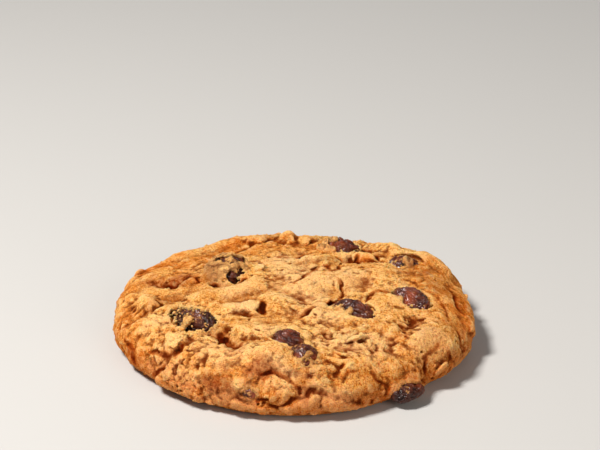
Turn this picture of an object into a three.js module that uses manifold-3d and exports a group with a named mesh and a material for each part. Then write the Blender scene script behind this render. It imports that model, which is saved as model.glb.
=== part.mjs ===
// Oatmeal raisin cookie: one baked round of lumpy dough with ten raisins sunk in it.
// Millimetres, +Z up. The flat underside lies on z = 0 and the middle of the outline is on the Z axis.
// The front, with the jutting lump and the raisin under the edge, faces -Y.
import * as THREE from 'three';
import { mergeVertices } from 'three/addons/utils/BufferGeometryUtils.js';
import Module from 'manifold-3d';

// ---------------------------------------------------------------- driving dimensions
const MEAN_RADIUS = 43.6;            // outline seen from above
const OUTLINE_WAVES = [              // [waves round the rim, cosine part, sine part]
  [2, -0.6, -0.25], [3, 0.2, 0.45], [4, 0.15, 0.25],
  [5, -0.65, -0.15], [6, -0.5, -0.4], [7, 0, -0.35],
];
const TOP_HEIGHT = 11.5;             // top beside the rim, before the lumps
const CROWN = 2.0;                   // extra height in the middle
const TOP_WAVES = [[1, 1.1, -0.25], [2, 0.25, 0.7]];  // slow swell of the top round the rim
const WIDEST_AT = 4.6;               // height of the widest ring
const UPPER_EDGE = 11.0;             // width of the rounded upper edge
const LOWER_EDGE = 3.9;              // how far the edge turns in below the widest ring
const FIT_GAP = 0.3;                 // clearance of the dough round each raisin

const TOP_RINGS = 16;                // rings over the top, the n-th with 6 n facets
const AROUND = 6 * TOP_RINGS;        // facets round the rim
const UPPER_RINGS = 10, LOWER_RINGS = 4;

// Lumps of dough: [reach, rise, points the lump runs through]
const LUMPS = [
  [4.5, 1.2, [-35, 21, 8.5], [-28.5, 27.5, 9.5], [-22, 32.5, 10], [-16, 35, 10.5]],  // far left rim
  [3.4, 1.0, [-13.5, 36.5, 10.5], [-7.5, 33.5, 12]],
  [3.4, 2.0, [-1.5, 38.5, 11]],                                       // peak of the far rim
  [3.5, 1.6, [19.5, 28.5, 13], [24.5, 26, 13]],                       // far right rim
  [4.0, 1.2, [33, 19.5, 12.5], [37.5, 16.5, 11]],                     // right shoulder
  [4.0, 0.9, [41, 9, 7.5], [42, 1.5, 7.5], [42.5, -7.5, 7]],               // right lobe
  [9.0, 3.4, [29, -24.5, 11.5], [34, -23, 10]],                       // big mound, front right
  [8.0, 1.0, [14, 7, 13.5], [19, 9.5, 13.5], [24, 4.5, 13.5]],         // upper plateau
  [8.0, 1.2, [3.5, 0.5, 13.5], [7.5, 4.5, 13.5]],
  [6.0, 1.0, [18.5, -10.5, 13.5], [22.5, -7.5, 13.5]],
  [6.0, 1.2, [6, -18, 13], [12, -20.5, 13]],                        // lip before the bent raisin
  [5.0, 1.0, [-22, -4.5, 13], [-16, -2.5, 13], [-10, 1, 13.5]],     // lip before the upper left raisin
  [3.6, 1.7, [-14, -11.5, 13], [-10.5, -10.5, 13.5]],
  [6.0, 1.2, [-5, -8, 13.5], [-2.5, -10, 13.5]],
  [7.5, 1.4, [-18, -34, 11.5], [-10.5, -34.5, 12.5], [-4, -34.5, 12.5]],  // front mound
  [5.0, 1.2, [-17, -39, 9], [-15, -40, 8.5]],
  [4.5, 0.9, [-9.5, -40.5, 10], [-7, -39.5, 11]],
  [4.2, 1.6, [-5, -43.5, 8.5], [-2.5, -44, 8.5]],                     // round lump on the front edge
  [4.5, 2.3, [-29.5, -31.5, 4.5], [-26, -34.5, 5], [-23, -37.5, 4.5]],  // jutting lump, front left
  [3.5, 1.6, [-28, -26, 11], [-27, -25.5, 11.5]],
  [4.0, 1.7, [-35, -4, 11.5], [-33, -7, 12]],
  [3.6, 1.0, [-24, -30.5, 11], [-22.5, -33, 10.5]],
  [3.5, 0.9, [-41, 2, 9], [-41.5, -5, 8.5]],
  [7.0, 1.3, [-17, 7.5, 13], [-15, 10.5, 13]],                        // swell round the upper left raisin
  [5.0, 1.3, [13, -37.5, 11], [18, -35.5, 10.5], [22, -34.5, 9.5]],
  [4.5, 1.3, [12.5, -42.5, 7], [17, -40.5, 7.5]],
  [5.0, 0.8, [24.5, -35, 7.5], [27.5, -32.5, 8]],
  [3.4, 0.9, [0, -45.5, 3.5], [6, -45, 4], [15.5, -42, 3]],
  [3.2, 0.8, [-19.5, -39.5, 3.5], [-13.5, -43, 3.5], [-8.5, -44.5, 3]],
];
// Creases and hollows between the lumps: [half width, depth, points]
const CREASES = [
  [2.2, 0.8, [0.5, 1, 13.5], [4, 8, 13.5], [8.5, 12.5, 13.5], [13, 13.5, 13.5], [22.5, 14.5, 13.5]],
  [2.2, 0.7, [17, -8.5, 13.5], [20, -3.5, 13.5], [25.5, -4, 13.5]],
  [2.4, 1.2, [-13, 25.5, 12], [-7.5, 30.5, 12], [-4.5, 34, 12]],
  [2.8, 1.6, [-33.5, 8, 11.5], [-29.5, 4, 12], [-26.5, 7, 12.5]],
  [2.2, 1.1, [-31, -6.5, 12.5], [-32.5, -12, 12]],
  [2.2, 1.7, [-6.5, -11.5, 13.5], [-6.5, -15, 13.5]],
  [2.2, 1.1, [-13, -16.5, 13], [-8.5, -17.5, 13]],
  [2.2, 1.1, [-13, -31.5, 12.5], [-5.5, -29, 13]],
  [3.2, 1.8, [-18, -26.5, 12.5], [-14, -30.5, 12.5]],
  [2.2, 1.2, [3.5, -41.5, 10], [3, -45, 6.5]],
  [2.2, 1.0, [10.5, -43, 7.5], [13.5, -39, 10], [18, -38, 9], [21, -38.5, 6]],
  [3.0, 2.5, [23, -25.5, 12.5], [27.5, -18, 13]],
  [2.2, 1.0, [30.5, -29, 8.5], [34, -24, 9.5]],
  [2.2, 0.8, [39.5, 1.5, 10.5], [39.5, -5, 10.5]],
  [3.6, 2.1, [18, 28, 13], [18.5, 34.5, 10]],                         // dip in the far rim
  [2.4, 1.6, [17.5, 16.5, 13.5], [21, 16.5, 13.5]],
  [2.4, 1.4, [-19, 1, 13], [-11.5, 1.5, 13.5]],
  [5.5, 1.7, [33, -28.5, 3]],                                         // edge drawn in above the raisin under it
];
// The far side carries the same kind of lumps, spaced by a fixed stride round the rim.
const FAR_LUMPS = { count: 13, from: 20, to: 168, height: 6.2, swing: 2.6, reach: 4.4, rise: 0.9 };
// Short-wave unevenness of the whole crust: [wave length, strength]
const RIPPLE = [[13, 0.22], [8.5, 0.2], [6.1, 0.16]];

// Raisins: name, middle, half length, half width, half thickness, heading, slope, arch, turn of the folds,
// and how much thicker the far end is than the near end
const RAISINS = [
  ['raisin_upper_left', [-16.2, 10, 12.9], 6.6, 5.2, 3.3, 74, 4, 0.5, 0.3, 0.1],
  ['raisin_left', [-23.6, -16.6, 11.5], 6.8, 4.2, 3, -49, -2, 0.3, 1.9, 0.1],
  ['raisin_front', [-1, -29.6, 12.7], 3.5, 3.3, 2.7, -30, -6, 0.2, 2.6, -0.1],
  ['raisin_front_tail', [3, -36.4, 11], 3.9, 2.8, 2.3, -70, -20, 0.3, 0.9, -0.1],
  ['raisin_middle_bent', [13.1, -13, 12.9], 7, 3, 2.5, -20, -2, 2, 1.2, 0.4],
  ['raisin_right', [28.2, -6.8, 12.8], 5.5, 3.9, 3.1, -53, -4, 0.4, 3.4, 0],
  ['raisin_upper_right', [27.2, 14.8, 12.6], 3.8, 3.2, 2.5, 15, 0, 0.3, 0.6, -0.1],
  ['raisin_back', [11.6, 24, 12.9], 5.2, 4.3, 3.1, -6, 0, 0.3, 2.2, -0.2],
  ['raisin_under_edge', [25.8, -35.9, 3.1], 4.4, 3.4, 2.3, 37, 0, 0, 1.5, 0],
  ['raisin_edge_small', [-9.6, -43, 6.4], 2, 1.5, 1.4, -12, 4, 0, 2.9, 0],
];
const RAISIN_AROUND = 16, RAISIN_RINGS = 9;
const FOLD_DEPTH = 0.12;             // of the half width
const RAISIN_FOLDS = 5;

// ---------------------------------------------------------------- base form of the cookie
const rad = (d) => d * Math.PI / 180;
const clamp = (v, a, b) => Math.min(b, Math.max(a, v));
const smooth = (a, b, v) => { const t = clamp((v - a) / (b - a), 0, 1); return t * t * (3 - 2 * t); };
const waves = (table, angle) => table.reduce((s, [k, c, w]) => s + c * Math.cos(k * angle) + w * Math.sin(k * angle), 0);

const outline = (angle) => MEAN_RADIUS + waves(OUTLINE_WAVES, angle);
const topHeight = (angle, part) => TOP_HEIGHT + CROWN * (1 - part * part) + part * part * waves(TOP_WAVES, angle);

// u runs 0..0.5 over the top, 0.5..1 round the upper edge, 1..1.5 round the lower edge, 1.5..2 over the underside
function formPoint(angle, u) {
  const R = outline(angle);
  let r, z;
  if (u <= 1) {
    const turn = clamp((u - 0.5) / 0.5, 0, 1) * Math.PI / 2;
    r = u < 0.5 ? (R - UPPER_EDGE) * u / 0.5 : R - UPPER_EDGE + UPPER_EDGE * Math.sin(turn);
    z = WIDEST_AT + (topHeight(angle, r / R) - WIDEST_AT) * Math.cos(turn);
  } else {
    const turn = clamp((u - 1) / 0.5, 0, 1) * Math.PI / 2;
    r = u < 1.5 ? R - LOWER_EDGE + LOWER_EDGE * Math.cos(turn) : (R - LOWER_EDGE) * (2 - u) / 0.5;
    z = WIDEST_AT * (1 - Math.sin(turn));
  }
  return new THREE.Vector3(r * Math.cos(angle), r * Math.sin(angle), u >= 1.5 ? 0 : z);
}
function formNormal(angle, u) {
  const d = 0.004;
  const alongRim = formPoint(angle + d, u).sub(formPoint(angle - d, u));
  const down = formPoint(angle, Math.min(u + d, 1.49)).sub(formPoint(angle, Math.max(u - d, 0.001)));
  return down.cross(alongRim).normalize();
}

// ---------------------------------------------------------------- lumps and creases
function pathDistance(p, path) {
  let best = Infinity;
  const q = new THREE.Vector3(), line = new THREE.Line3();
  if (path.length === 1) return p.distanceTo(path[0]);
  for (let i = 0; i + 1 < path.length; i++) {
    line.set(path[i], path[i + 1]).closestPointToPoint(p, true, q);
    best = Math.min(best, p.distanceTo(q));
  }
  return best;
}
const toFeature = (sign) => ([reach, size, ...points]) => ({ reach, size: sign * size, path: points.map((a) => new THREE.Vector3(...a)) });
const features = [...LUMPS.map(toFeature(1)), ...CREASES.map(toFeature(-1))];
for (let i = 0; i < FAR_LUMPS.count; i++) {
  const angle = rad(FAR_LUMPS.from + (FAR_LUMPS.to - FAR_LUMPS.from) * i / (FAR_LUMPS.count - 1));
  const z = FAR_LUMPS.height + FAR_LUMPS.swing * Math.sin(i * 2.4);
  const at = new THREE.Vector3(outline(angle) * Math.cos(angle), outline(angle) * Math.sin(angle), z);
  features.push({ reach: FAR_LUMPS.reach * (1 + 0.2 * Math.sin(i * 5.1)), size: FAR_LUMPS.rise * (0.75 + 0.35 * Math.cos(i * 3.3)), path: [at] });
}
function ripple(p) {
  return RIPPLE.reduce((s, [length, strength], i) => {
    const k = 2 * Math.PI / length;
    return s + strength * Math.sin(k * (p.x * 0.83 + p.y * 0.55) + i * 2.1 + 1.3 * Math.sin(k * 0.6 * p.y + i))
      * Math.sin(k * (p.y * 0.9 - p.x * 0.43 + p.z * 0.7) + i * 1.7);
  }, 0);
}
function relief(p) {
  let d = ripple(p);
  for (const f of features) {
    const q = pathDistance(p, f.path) / f.reach;
    if (q < 1) d += f.size * (1 - q * q) ** 2;
  }
  return d;
}

// The top is a disc of rings whose n-th has 6 n points, so its facets stay even; the edge is a plain band of quads.
function cookieGeometry() {
  const position = [], index = [], rings = [];
  const addRing = (u, count) => {
    const keep = 1 - smooth(1.2, 1.48, u);
    rings.push({ start: position.length / 3, count });
    for (let j = 0; j < count; j++) {
      const angle = 2 * Math.PI * j / count;
      const p = formPoint(angle, u);
      if (u < 1.5) {
        p.addScaledVector(formNormal(angle, u), relief(p) * keep);
        p.z = Math.max(p.z, 0.25);
      }
      position.push(p.x, p.y, p.z);
    }
  };
  const middle = formPoint(0, 0);
  position.push(0, 0, middle.z + relief(middle));
  for (let i = 1; i <= TOP_RINGS; i++) addRing(0.5 * i / TOP_RINGS, 6 * i);
  for (let i = 1; i <= UPPER_RINGS; i++) addRing(0.5 + 0.5 * i / UPPER_RINGS, AROUND);
  for (let i = 1; i <= LOWER_RINGS; i++) addRing(1 + 0.5 * i / LOWER_RINGS, AROUND);
  const base = position.length / 3;
  position.push(0, 0, 0);
  // stitch two rings, walking round both at once
  const stitch = (inner, outer) => {
    let i = 0, o = 0;
    const a = (k) => inner.start + (k % inner.count), b = (k) => outer.start + (k % outer.count);
    while (i < inner.count || o < outer.count) {
      if (o < outer.count && (o + 0.5) * inner.count <= (i + 0.5) * outer.count) { index.push(a(i), b(o), b(o + 1)); o++; }
      else { index.push(a(i), b(o), a(i + 1)); i++; }
    }
  };
  const first = rings[0], last = rings[rings.length - 1];
  for (let j = 0; j < first.count; j++) index.push(0, first.start + j, first.start + (j + 1) % first.count);
  for (let k = 0; k + 1 < rings.length; k++) stitch(rings[k], rings[k + 1]);
  for (let j = 0; j < last.count; j++) index.push(last.start + j, base, last.start + (j + 1) % last.count);
  const geometry = new THREE.BufferGeometry();
  geometry.setAttribute('position', new THREE.Float32BufferAttribute(position, 3));
  geometry.setIndex(index);
  return geometry;
}

// ---------------------------------------------------------------- raisins
// A shrivelled oval: lengthwise folds that die out at the tips, bent along its length, thicker towards one end
// by `taper`, and grown by `extra`.
function raisinGeometry(halfLength, halfWidth, halfThickness, arch, phase, taper, extra) {
  const position = [];
  const ring = (t, radius) => {
    for (let j = 0; j < RAISIN_AROUND; j++) {
      const a = 2 * Math.PI * j / RAISIN_AROUND;
      const fold = 1 - FOLD_DEPTH * Math.sin(Math.PI * t) * Math.pow(Math.abs(Math.sin(RAISIN_FOLDS * a / 2 + phase + 0.9 * t)), 1.5)
        + 0.05 * Math.sin(2 * a + phase * 3 + 4 * t);
      const x = -Math.cos(Math.PI * t);
      const full = fold * (1 + taper * x);
      position.push(
        (halfLength + extra) * x,
        (halfWidth * full + extra) * radius * Math.cos(a),
        (halfThickness * full + extra) * radius * Math.sin(a) - arch * x * x,
      );
    }
  };
  position.push(-(halfLength + extra), 0, -arch);
  for (let i = 1; i < RAISIN_RINGS; i++) ring(i / RAISIN_RINGS, Math.pow(Math.sin(Math.PI * i / RAISIN_RINGS), 0.85));
  position.push(halfLength + extra, 0, -arch);
  const index = [];
  const end = position.length / 3 - 1;
  const at = (i, j) => 1 + (i - 1) * RAISIN_AROUND + (j % RAISIN_AROUND);
  for (let j = 0; j < RAISIN_AROUND; j++) {
    index.push(0, at(1, j + 1), at(1, j));
    for (let i = 1; i + 1 < RAISIN_RINGS; i++) {
      index.push(at(i, j), at(i, j + 1), at(i + 1, j + 1), at(i, j), at(i + 1, j + 1), at(i + 1, j));
    }
    index.push(at(RAISIN_RINGS - 1, j), at(RAISIN_RINGS - 1, j + 1), end);
  }
  const geometry = new THREE.BufferGeometry();
  geometry.setAttribute('position', new THREE.Float32BufferAttribute(position, 3));
  geometry.setIndex(index);
  return geometry;
}
function raisinPlacement(middle, heading, slope) {
  const turn = new THREE.Euler(0, rad(-slope), rad(heading), 'ZYX');
  return new THREE.Matrix4().compose(new THREE.Vector3(...middle), new THREE.Quaternion().setFromEuler(turn), new THREE.Vector3(1, 1, 1));
}

// ---------------------------------------------------------------- booleans
const wasm = await Module();
wasm.setup();
function toSolid(geometry) {
  const g = geometry.clone();
  g.deleteAttribute('normal');
  g.deleteAttribute('uv');
  const merged = mergeVertices(g, 1e-5);
  return new wasm.Manifold(new wasm.Mesh({
    numProp: 3,
    vertProperties: new Float32Array(merged.getAttribute('position').array),
    triVerts: new Uint32Array(merged.getIndex().array),
  }));
}
function toGeometry(solid) {
  const mesh = solid.getMesh();
  const geometry = new THREE.BufferGeometry();
  geometry.setAttribute('position', new THREE.Float32BufferAttribute(new Float32Array(mesh.vertProperties), 3));
  geometry.setIndex(Array.from(mesh.triVerts));
  geometry.computeVertexNormals();
  return geometry;
}

// ---------------------------------------------------------------- the parts
const group = new THREE.Group();
const doughMaterial = new THREE.MeshStandardMaterial({ color: 0xcf9050, roughness: 0.85, metalness: 0 });
const raisinMaterial = new THREE.MeshStandardMaterial({ color: 0x3a1a18, roughness: 0.4, metalness: 0 });

let dough = toSolid(cookieGeometry());
for (const [name, middle, length, width, thickness, heading, slope, arch, phase, taper] of RAISINS) {
  const place = raisinPlacement(middle, heading, slope);
  const pocket = raisinGeometry(length, width, thickness, arch, phase, taper, FIT_GAP).applyMatrix4(place);
  dough = dough.subtract(toSolid(pocket));
  const geometry = raisinGeometry(length, width, thickness, arch, phase, taper, 0);
  geometry.computeVertexNormals();
  const mesh = new THREE.Mesh(geometry, raisinMaterial.clone());
  mesh.name = name;
  mesh.applyMatrix4(place);
  group.add(mesh);
}
const cookie = new THREE.Mesh(toGeometry(dough), doughMaterial);
cookie.name = 'cookie_dough';
group.add(cookie);

export default group;
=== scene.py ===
"""Looks of an oatmeal raisin cookie: a lumpy baked dough, ten raisins and loose crumbs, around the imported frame."""
import math

import bpy
import numpy as np
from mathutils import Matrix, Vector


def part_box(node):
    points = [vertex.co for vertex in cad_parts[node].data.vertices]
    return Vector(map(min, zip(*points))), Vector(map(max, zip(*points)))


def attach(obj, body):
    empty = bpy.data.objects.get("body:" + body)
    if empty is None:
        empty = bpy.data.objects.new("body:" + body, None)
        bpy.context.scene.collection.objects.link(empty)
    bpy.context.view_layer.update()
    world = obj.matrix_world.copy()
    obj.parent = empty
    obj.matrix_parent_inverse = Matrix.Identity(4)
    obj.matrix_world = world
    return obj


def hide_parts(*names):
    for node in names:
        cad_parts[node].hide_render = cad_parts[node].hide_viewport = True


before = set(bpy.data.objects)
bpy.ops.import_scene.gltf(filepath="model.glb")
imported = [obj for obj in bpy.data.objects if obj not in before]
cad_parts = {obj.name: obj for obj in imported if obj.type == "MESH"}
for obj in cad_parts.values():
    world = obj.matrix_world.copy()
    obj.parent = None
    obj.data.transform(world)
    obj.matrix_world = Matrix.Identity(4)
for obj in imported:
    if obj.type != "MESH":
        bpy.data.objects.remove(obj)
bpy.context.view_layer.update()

import openvdb
from mathutils import Vector
from mathutils.kdtree import KDTree

MM = 0.001
f32 = np.float32

# ------------------------------------------------------------------ named sizes, millimetres
MEAN_RADIUS = 43.6
OUTLINE_WAVES = [(2, -0.6, -0.25), (3, 0.2, 0.45), (4, 0.15, 0.25), (5, -0.65, -0.15), (6, -0.5, -0.4), (7, 0.0, -0.35)]
TOP_HEIGHT, CROWN = 11.5, 2.0
TOP_WAVES = [(1, 1.1, -0.25), (2, 0.25, 0.7)]
WIDEST_AT, UPPER_EDGE, LOWER_EDGE = 4.6, 11.0, 3.9
VOXEL = 0.25
TARGET_FACES = 196000

# lumps: (reach, rise, points)
LUMPS = [
    (4.5, 0.9, [(-35.9, 21.6, 8.2), (-28.9, 26.1, 9.8), (-22.3, 30.5, 10.4), (-16, 32.5, 11.2)]),  # rim lip, far left
    (3.0, 0.7, [(-13.5, 33.8, 11.3), (-7.9, 32.2, 12)]),  # rim bump, far left
    (3.2, 1.8, [(-1.3, 33.7, 12.2)]),  # peak of the far rim
    (3.0, 0.5, [(3, 32.1, 12.4), (8.1, 34.9, 11.8)]),  # far rim
    (3.5, 1.2, [(19.8, 26.3, 13.1), (24.7, 24.1, 13.2)]),  # far rim, right bump
    (4.0, 0.9, [(32.7, 18.8, 12.9), (37.5, 15.4, 11.1)]),  # right shoulder
    (4.0, 1.0, [(41.1, 8.4, 7.8), (42, 0.4, 7.5), (42.2, -9.8, 7.2)]),  # right lobe
    (9.0, 2.0, [(28.8, -25.4, 11.1), (34, -23.4, 9.6)]),  # big right mound
    (8.0, 0.8, [(14.3, 6.2, 13.5), (19.2, 8.7, 13.5), (23.9, 4, 13.4)]),  # upper plateau, right
    (8.0, 0.9, [(3.6, -0.1, 13.6), (7.7, 3.6, 13.6)]),  # upper plateau, left
    (6.0, 0.8, [(18.6, -11.5, 13.2), (22.5, -8.7, 13.3)]),  # middle right
    (6.0, 0.9, [(5.8, -15.7, 13.3), (12.1, -17.6, 13.1)]),  # lip before the bent raisin
    (5.0, 0.8, [(-22.2, -5.4, 12.9), (-16.3, -3.2, 13.2), (-10.3, -0.1, 13.4)]),  # lip before the upper left raisin
    (3.8, 0.8, [(-14.1, -12.5, 13.2), (-10.6, -11.6, 13.3)]),  # pale lump, left of middle
    (6.0, 0.9, [(-5, -9.2, 13.5), (-2.6, -10.9, 13.5)]),  # ledge by the deep pit
    (4.5, 0.5, [(-11.1, -24.4, 12.9), (-4.9, -24.6, 13)]),  # left of the middle raisin
    (7.5, 1.1, [(-17.7, -34.3, 11.2), (-10.9, -35.1, 12.1), (-4.1, -35.6, 12.3)]),  # front mound
    (5.0, 0.9, [(-17.4, -39, 8.6), (-15.1, -40.5, 8.3)]),  # front left lump
    (4.5, 0.7, [(-9.7, -40.6, 10), (-7, -39.6, 10.9)]),  # front lump
    (2.6, 0.8, [(-11.9, -42.2, 7.9)]),  # small pale front lump
    (4.4, 0.85, [(-5.2, -43.9, 8), (-3, -44.1, 8.1)]),  # round front lump
    (4.5, 1.4, [(-29.9, -31.1, 4), (-26.2, -34.7, 4.5), (-23.4, -37.1, 3.9)]),  # jutting front left lump
    (4.2, 0.9, [(-26.7, -32.5, 8), (-23.4, -35.2, 8.3), (-21.1, -37.4, 7.8)]),  # behind the jutting lump
    (3.5, 1.2, [(-27.9, -26.7, 10.6), (-26.7, -25.9, 11.3)]),  # pale left lump
    (4.5, 0.5, [(-35.9, -16, 10.1), (-32.3, -16.8, 11.5)]),  # left flat lump
    (4.0, 1.3, [(-35.1, -5.3, 11.6), (-33, -8.6, 12)]),  # upper left lump
    (3.6, 0.8, [(-23.6, -30.9, 10.8), (-22.1, -33.1, 10.3)]),  # left front lump
    (3.5, 0.7, [(-40.9, 1.6, 8.8), (-41.4, -5.4, 8.3)]),  # left rim
    (6.5, 0.6, [(-18.1, 10, 12.8), (-15.2, 12.3, 12.9)]),  # hump over the upper left raisin
    (2.6, 0.9, [(-10.5, 10.7, 13.2), (-8.6, 9.1, 13.3)]),  # flake by the upper left raisin
    (3.0, 1.3, [(23.3, -37, 4.1), (25.4, -35.3, 4.5), (27.6, -33.5, 4.9)]),  # lip over the raisin under the edge
    (2.4, 0.9, [(5.3, -40.6, 10.6), (7.8, -40, 10.5)]),  # small lump a
    (2.4, 1.0, [(4.7, -43.2, 8.8), (7.1, -42.5, 9)]),  # small lump b
    (5.0, 1.0, [(12.8, -38.2, 10.6), (17.9, -35.7, 10.4), (22, -35.1, 9.1)]),  # front right facet
    (4.8, 0.9, [(11.8, -43, 6.7), (16.4, -40.9, 6.7)]),  # front right clump
    (5.0, 0.6, [(24.3, -35.2, 7.3), (27.1, -32.6, 7.6)]),  # right front
    (3.4, 0.7, [(-0.7, -45.5, 3.6), (3.5, -45.4, 4.3)]),  # front rim, middle
    (3.2, 0.7, [(9.4, -44, 2.9), (15.5, -41.3, 2.3)]),  # front rim, right
    (3.2, 0.5, [(-19.9, -39.5, 3.5), (-13.8, -42.7, 3.3), (-8.6, -44.2, 2.8)]),  # front rim, left
    (3.0, 1.0, [(16.6, 17.5, 13.4), (19, 16.8, 13.4)]),  # orange lump at the back
    (4.0, 0.5, [(10.7, -28.3, 12.7), (14.2, -29.1, 12.5)]),  # crumbly middle
    (3.0, 0.5, [(25.4, 20.8, 13.3), (30.2, 18.2, 13.3)]),  # far right film
]
# creases and cracks: (half width, depth, points)
CREASES = [
    (0.8, 0.9, [(0.2, -0.4, 14.2), (2.4, 2.3, 14.3), (4.4, 6.7, 14), (6.1, 11.6, 13.5), (8.6, 12.2, 13.5), (9, 7, 14.4), (11.4, 8.8, 14.1), (13, 13.3, 13.5), (14.8, 14.7, 13.5), (18.4, 14.5, 13.8), (22.6, 14.6, 13.5)]),  # crack round the upper plateau
    (0.6, 1.0, [(11.1, 1.3, 14.2), (11.7, -2.6, 13.6), (11.7, -4.8, 13.5), (10.7, -7.6, 13.5)]),  # upright crack
    (0.7, 0.8, [(17.2, -10.5, 14), (17.7, -9.2, 13.9), (18.8, -4.7, 13.4), (20.3, -3.5, 13.4), (24.8, -4.7, 13.4)]),  # crack, middle right
    (0.8, 0.8, [(4.7, -14.2, 14.1), (3, -16.5, 13.8), (1.6, -18.7, 13.3)]),  # crease left of the bent raisin
    (0.8, 0.8, [(-3.5, 18.1, 13.1), (-0.3, 17.9, 13.2), (3, 20.6, 13.1)]),  # crease behind the middle
    (1.2, 1.1, [(-13.3, 25.4, 12.2), (-10.4, 29.6, 12.1), (-7.8, 30.2, 12.4), (-4.6, 33.6, 12.1)]),  # crease behind the far rim
    (2.4, 2.0, [(-33.7, 8.4, 11.5), (-29.8, 4.4, 12.1), (-26.6, 7.6, 12.3)]),  # reddish hollow
    (1.0, 1.0, [(-32, -4.6, 12.4), (-31.2, -9.7, 12.9), (-33.3, -11.7, 12), (-35, -11.2, 11.5)]),  # crease round the upper left lump
    (0.9, 0.8, [(-39.7, -12.4, 8.4), (-37, -13.1, 10.3)]),  # left crease a
    (0.9, 0.8, [(-39.7, -16, 6.7), (-37.3, -20.8, 6.4), (-37.8, -20.7, 5), (-37.1, -21.8, 3.8)]),  # left rim crease
    (0.8, 0.9, [(-33.6, -24.7, 8), (-30.6, -27.4, 8.7), (-28.9, -28.9, 9.2)]),  # left crease b
    (0.8, 1.0, [(-25.3, -27.9, 11.5), (-25.9, -29.7, 10.6), (-27, -30.5, 9.7)]),  # crevice by the pale left lump
    (1.6, 1.0, [(-12.9, -16.1, 13.2), (-8.9, -17.4, 13.2)]),  # undercut of the pale lump
    (0.9, 1.2, [(-13.2, -32.7, 13.2), (-10.6, -29.2, 12.9), (-5.8, -28.7, 12.9), (-3.9, -27.8, 13)]),  # crevice behind the front mound
    (2.8, 2.3, [(-18.5, -23.4, 12.7), (-15.7, -26.6, 12.7), (-13.4, -33.2, 13.2)]),  # hollow right of the left raisin
    (0.7, 0.8, [(-6.5, -42.9, 9.6), (-4.1, -41.7, 10.5), (-1.8, -42.8, 9.9), (1.1, -43.9, 8.4)]),  # arc over the round front lump
    (1.0, 0.8, [(-7, -45, 5), (-4.1, -45.3, 3.6), (-0.7, -45.8, 5.9), (2.6, -45.3, 6.6), (4.2, -44.4, 7.9)]),  # front rim crease
    (1.3, 1.2, [(2.7, -39.5, 11.2), (3.5, -43.2, 9.5), (2.9, -45.1, 6.7)]),  # groove before the middle raisin
    (0.9, 1.0, [(9.5, -34.4, 12.2), (11.9, -37.1, 12)]),  # groove c
    (0.8, 0.9, [(11.2, -39.1, 11.3), (9.4, -40.7, 10.3), (7.8, -42.4, 9.9)]),  # groove d
    (0.6, 0.6, [(10.5, -43.2, 8.3), (10.9, -41.7, 9.3), (12.5, -40.5, 10.2), (14.6, -39.9, 10.1)]),  # edge of the front right clump
    (0.6, 0.5, [(17.8, -38.8, 9.4), (18.9, -39.4, 7.6), (20.8, -38.7, 5.8)]),  # edge of the front right clump, far part
    (1.1, 0.5, [(7.1, -44.3, 6.8), (8.7, -44.6, 5.7), (11.6, -44.5, 4.7), (19.2, -39.3, 2.3)]),  # front right rim crease
    (0.8, 0.9, [(-32.3, -28.1, 3), (-31, -31.2, 5.8), (-29.8, -31.3, 7.1)]),  # notch beside the jutting lump
    (3.0, 2.1, [(23.6, -27.3, 12.7), (25.5, -24.7, 13.5), (28.1, -18.8, 13.1), (29.5, -16, 12.8)]),  # broad crevice
    (0.6, 0.8, [(30.2, -30.2, 9), (31.2, -29, 9.7), (32.8, -27.7, 9.8), (33.6, -26.5, 10.5)]),  # mound crack a
    (0.7, 1.0, [(30.7, -30.2, 8.2), (30.4, -31, 6.6), (30.7, -30.7, 4.4)]),  # mound crack b
    (0.7, 0.7, [(38.8, -17.2, 9.2), (39.4, -19.9, 7.2), (40.5, -18.1, 5)]),  # mound crack c
    (0.6, 0.6, [(36, -26.1, 8.3), (36.7, -25.7, 5.5)]),  # mound crack d
    (0.9, 0.8, [(39.3, 1.6, 10.6), (39.4, -5.3, 10.8), (40.9, -8.2, 9.8)]),  # right rim fold
    (0.6, 0.6, [(34.6, -4.6, 12.8), (36.4, -9.9, 12.1), (36.2, -12.7, 11.8)]),  # right crease
    (3.2, 1.5, [(17.9, 22.2, 13.2), (18.1, 27.7, 13.4)]),  # dip in the far rim
    (1.3, 1.0, [(-19.1, 2.4, 13), (-16.1, 0.9, 13.4)]),  # crevice below the upper left raisin
]
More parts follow.
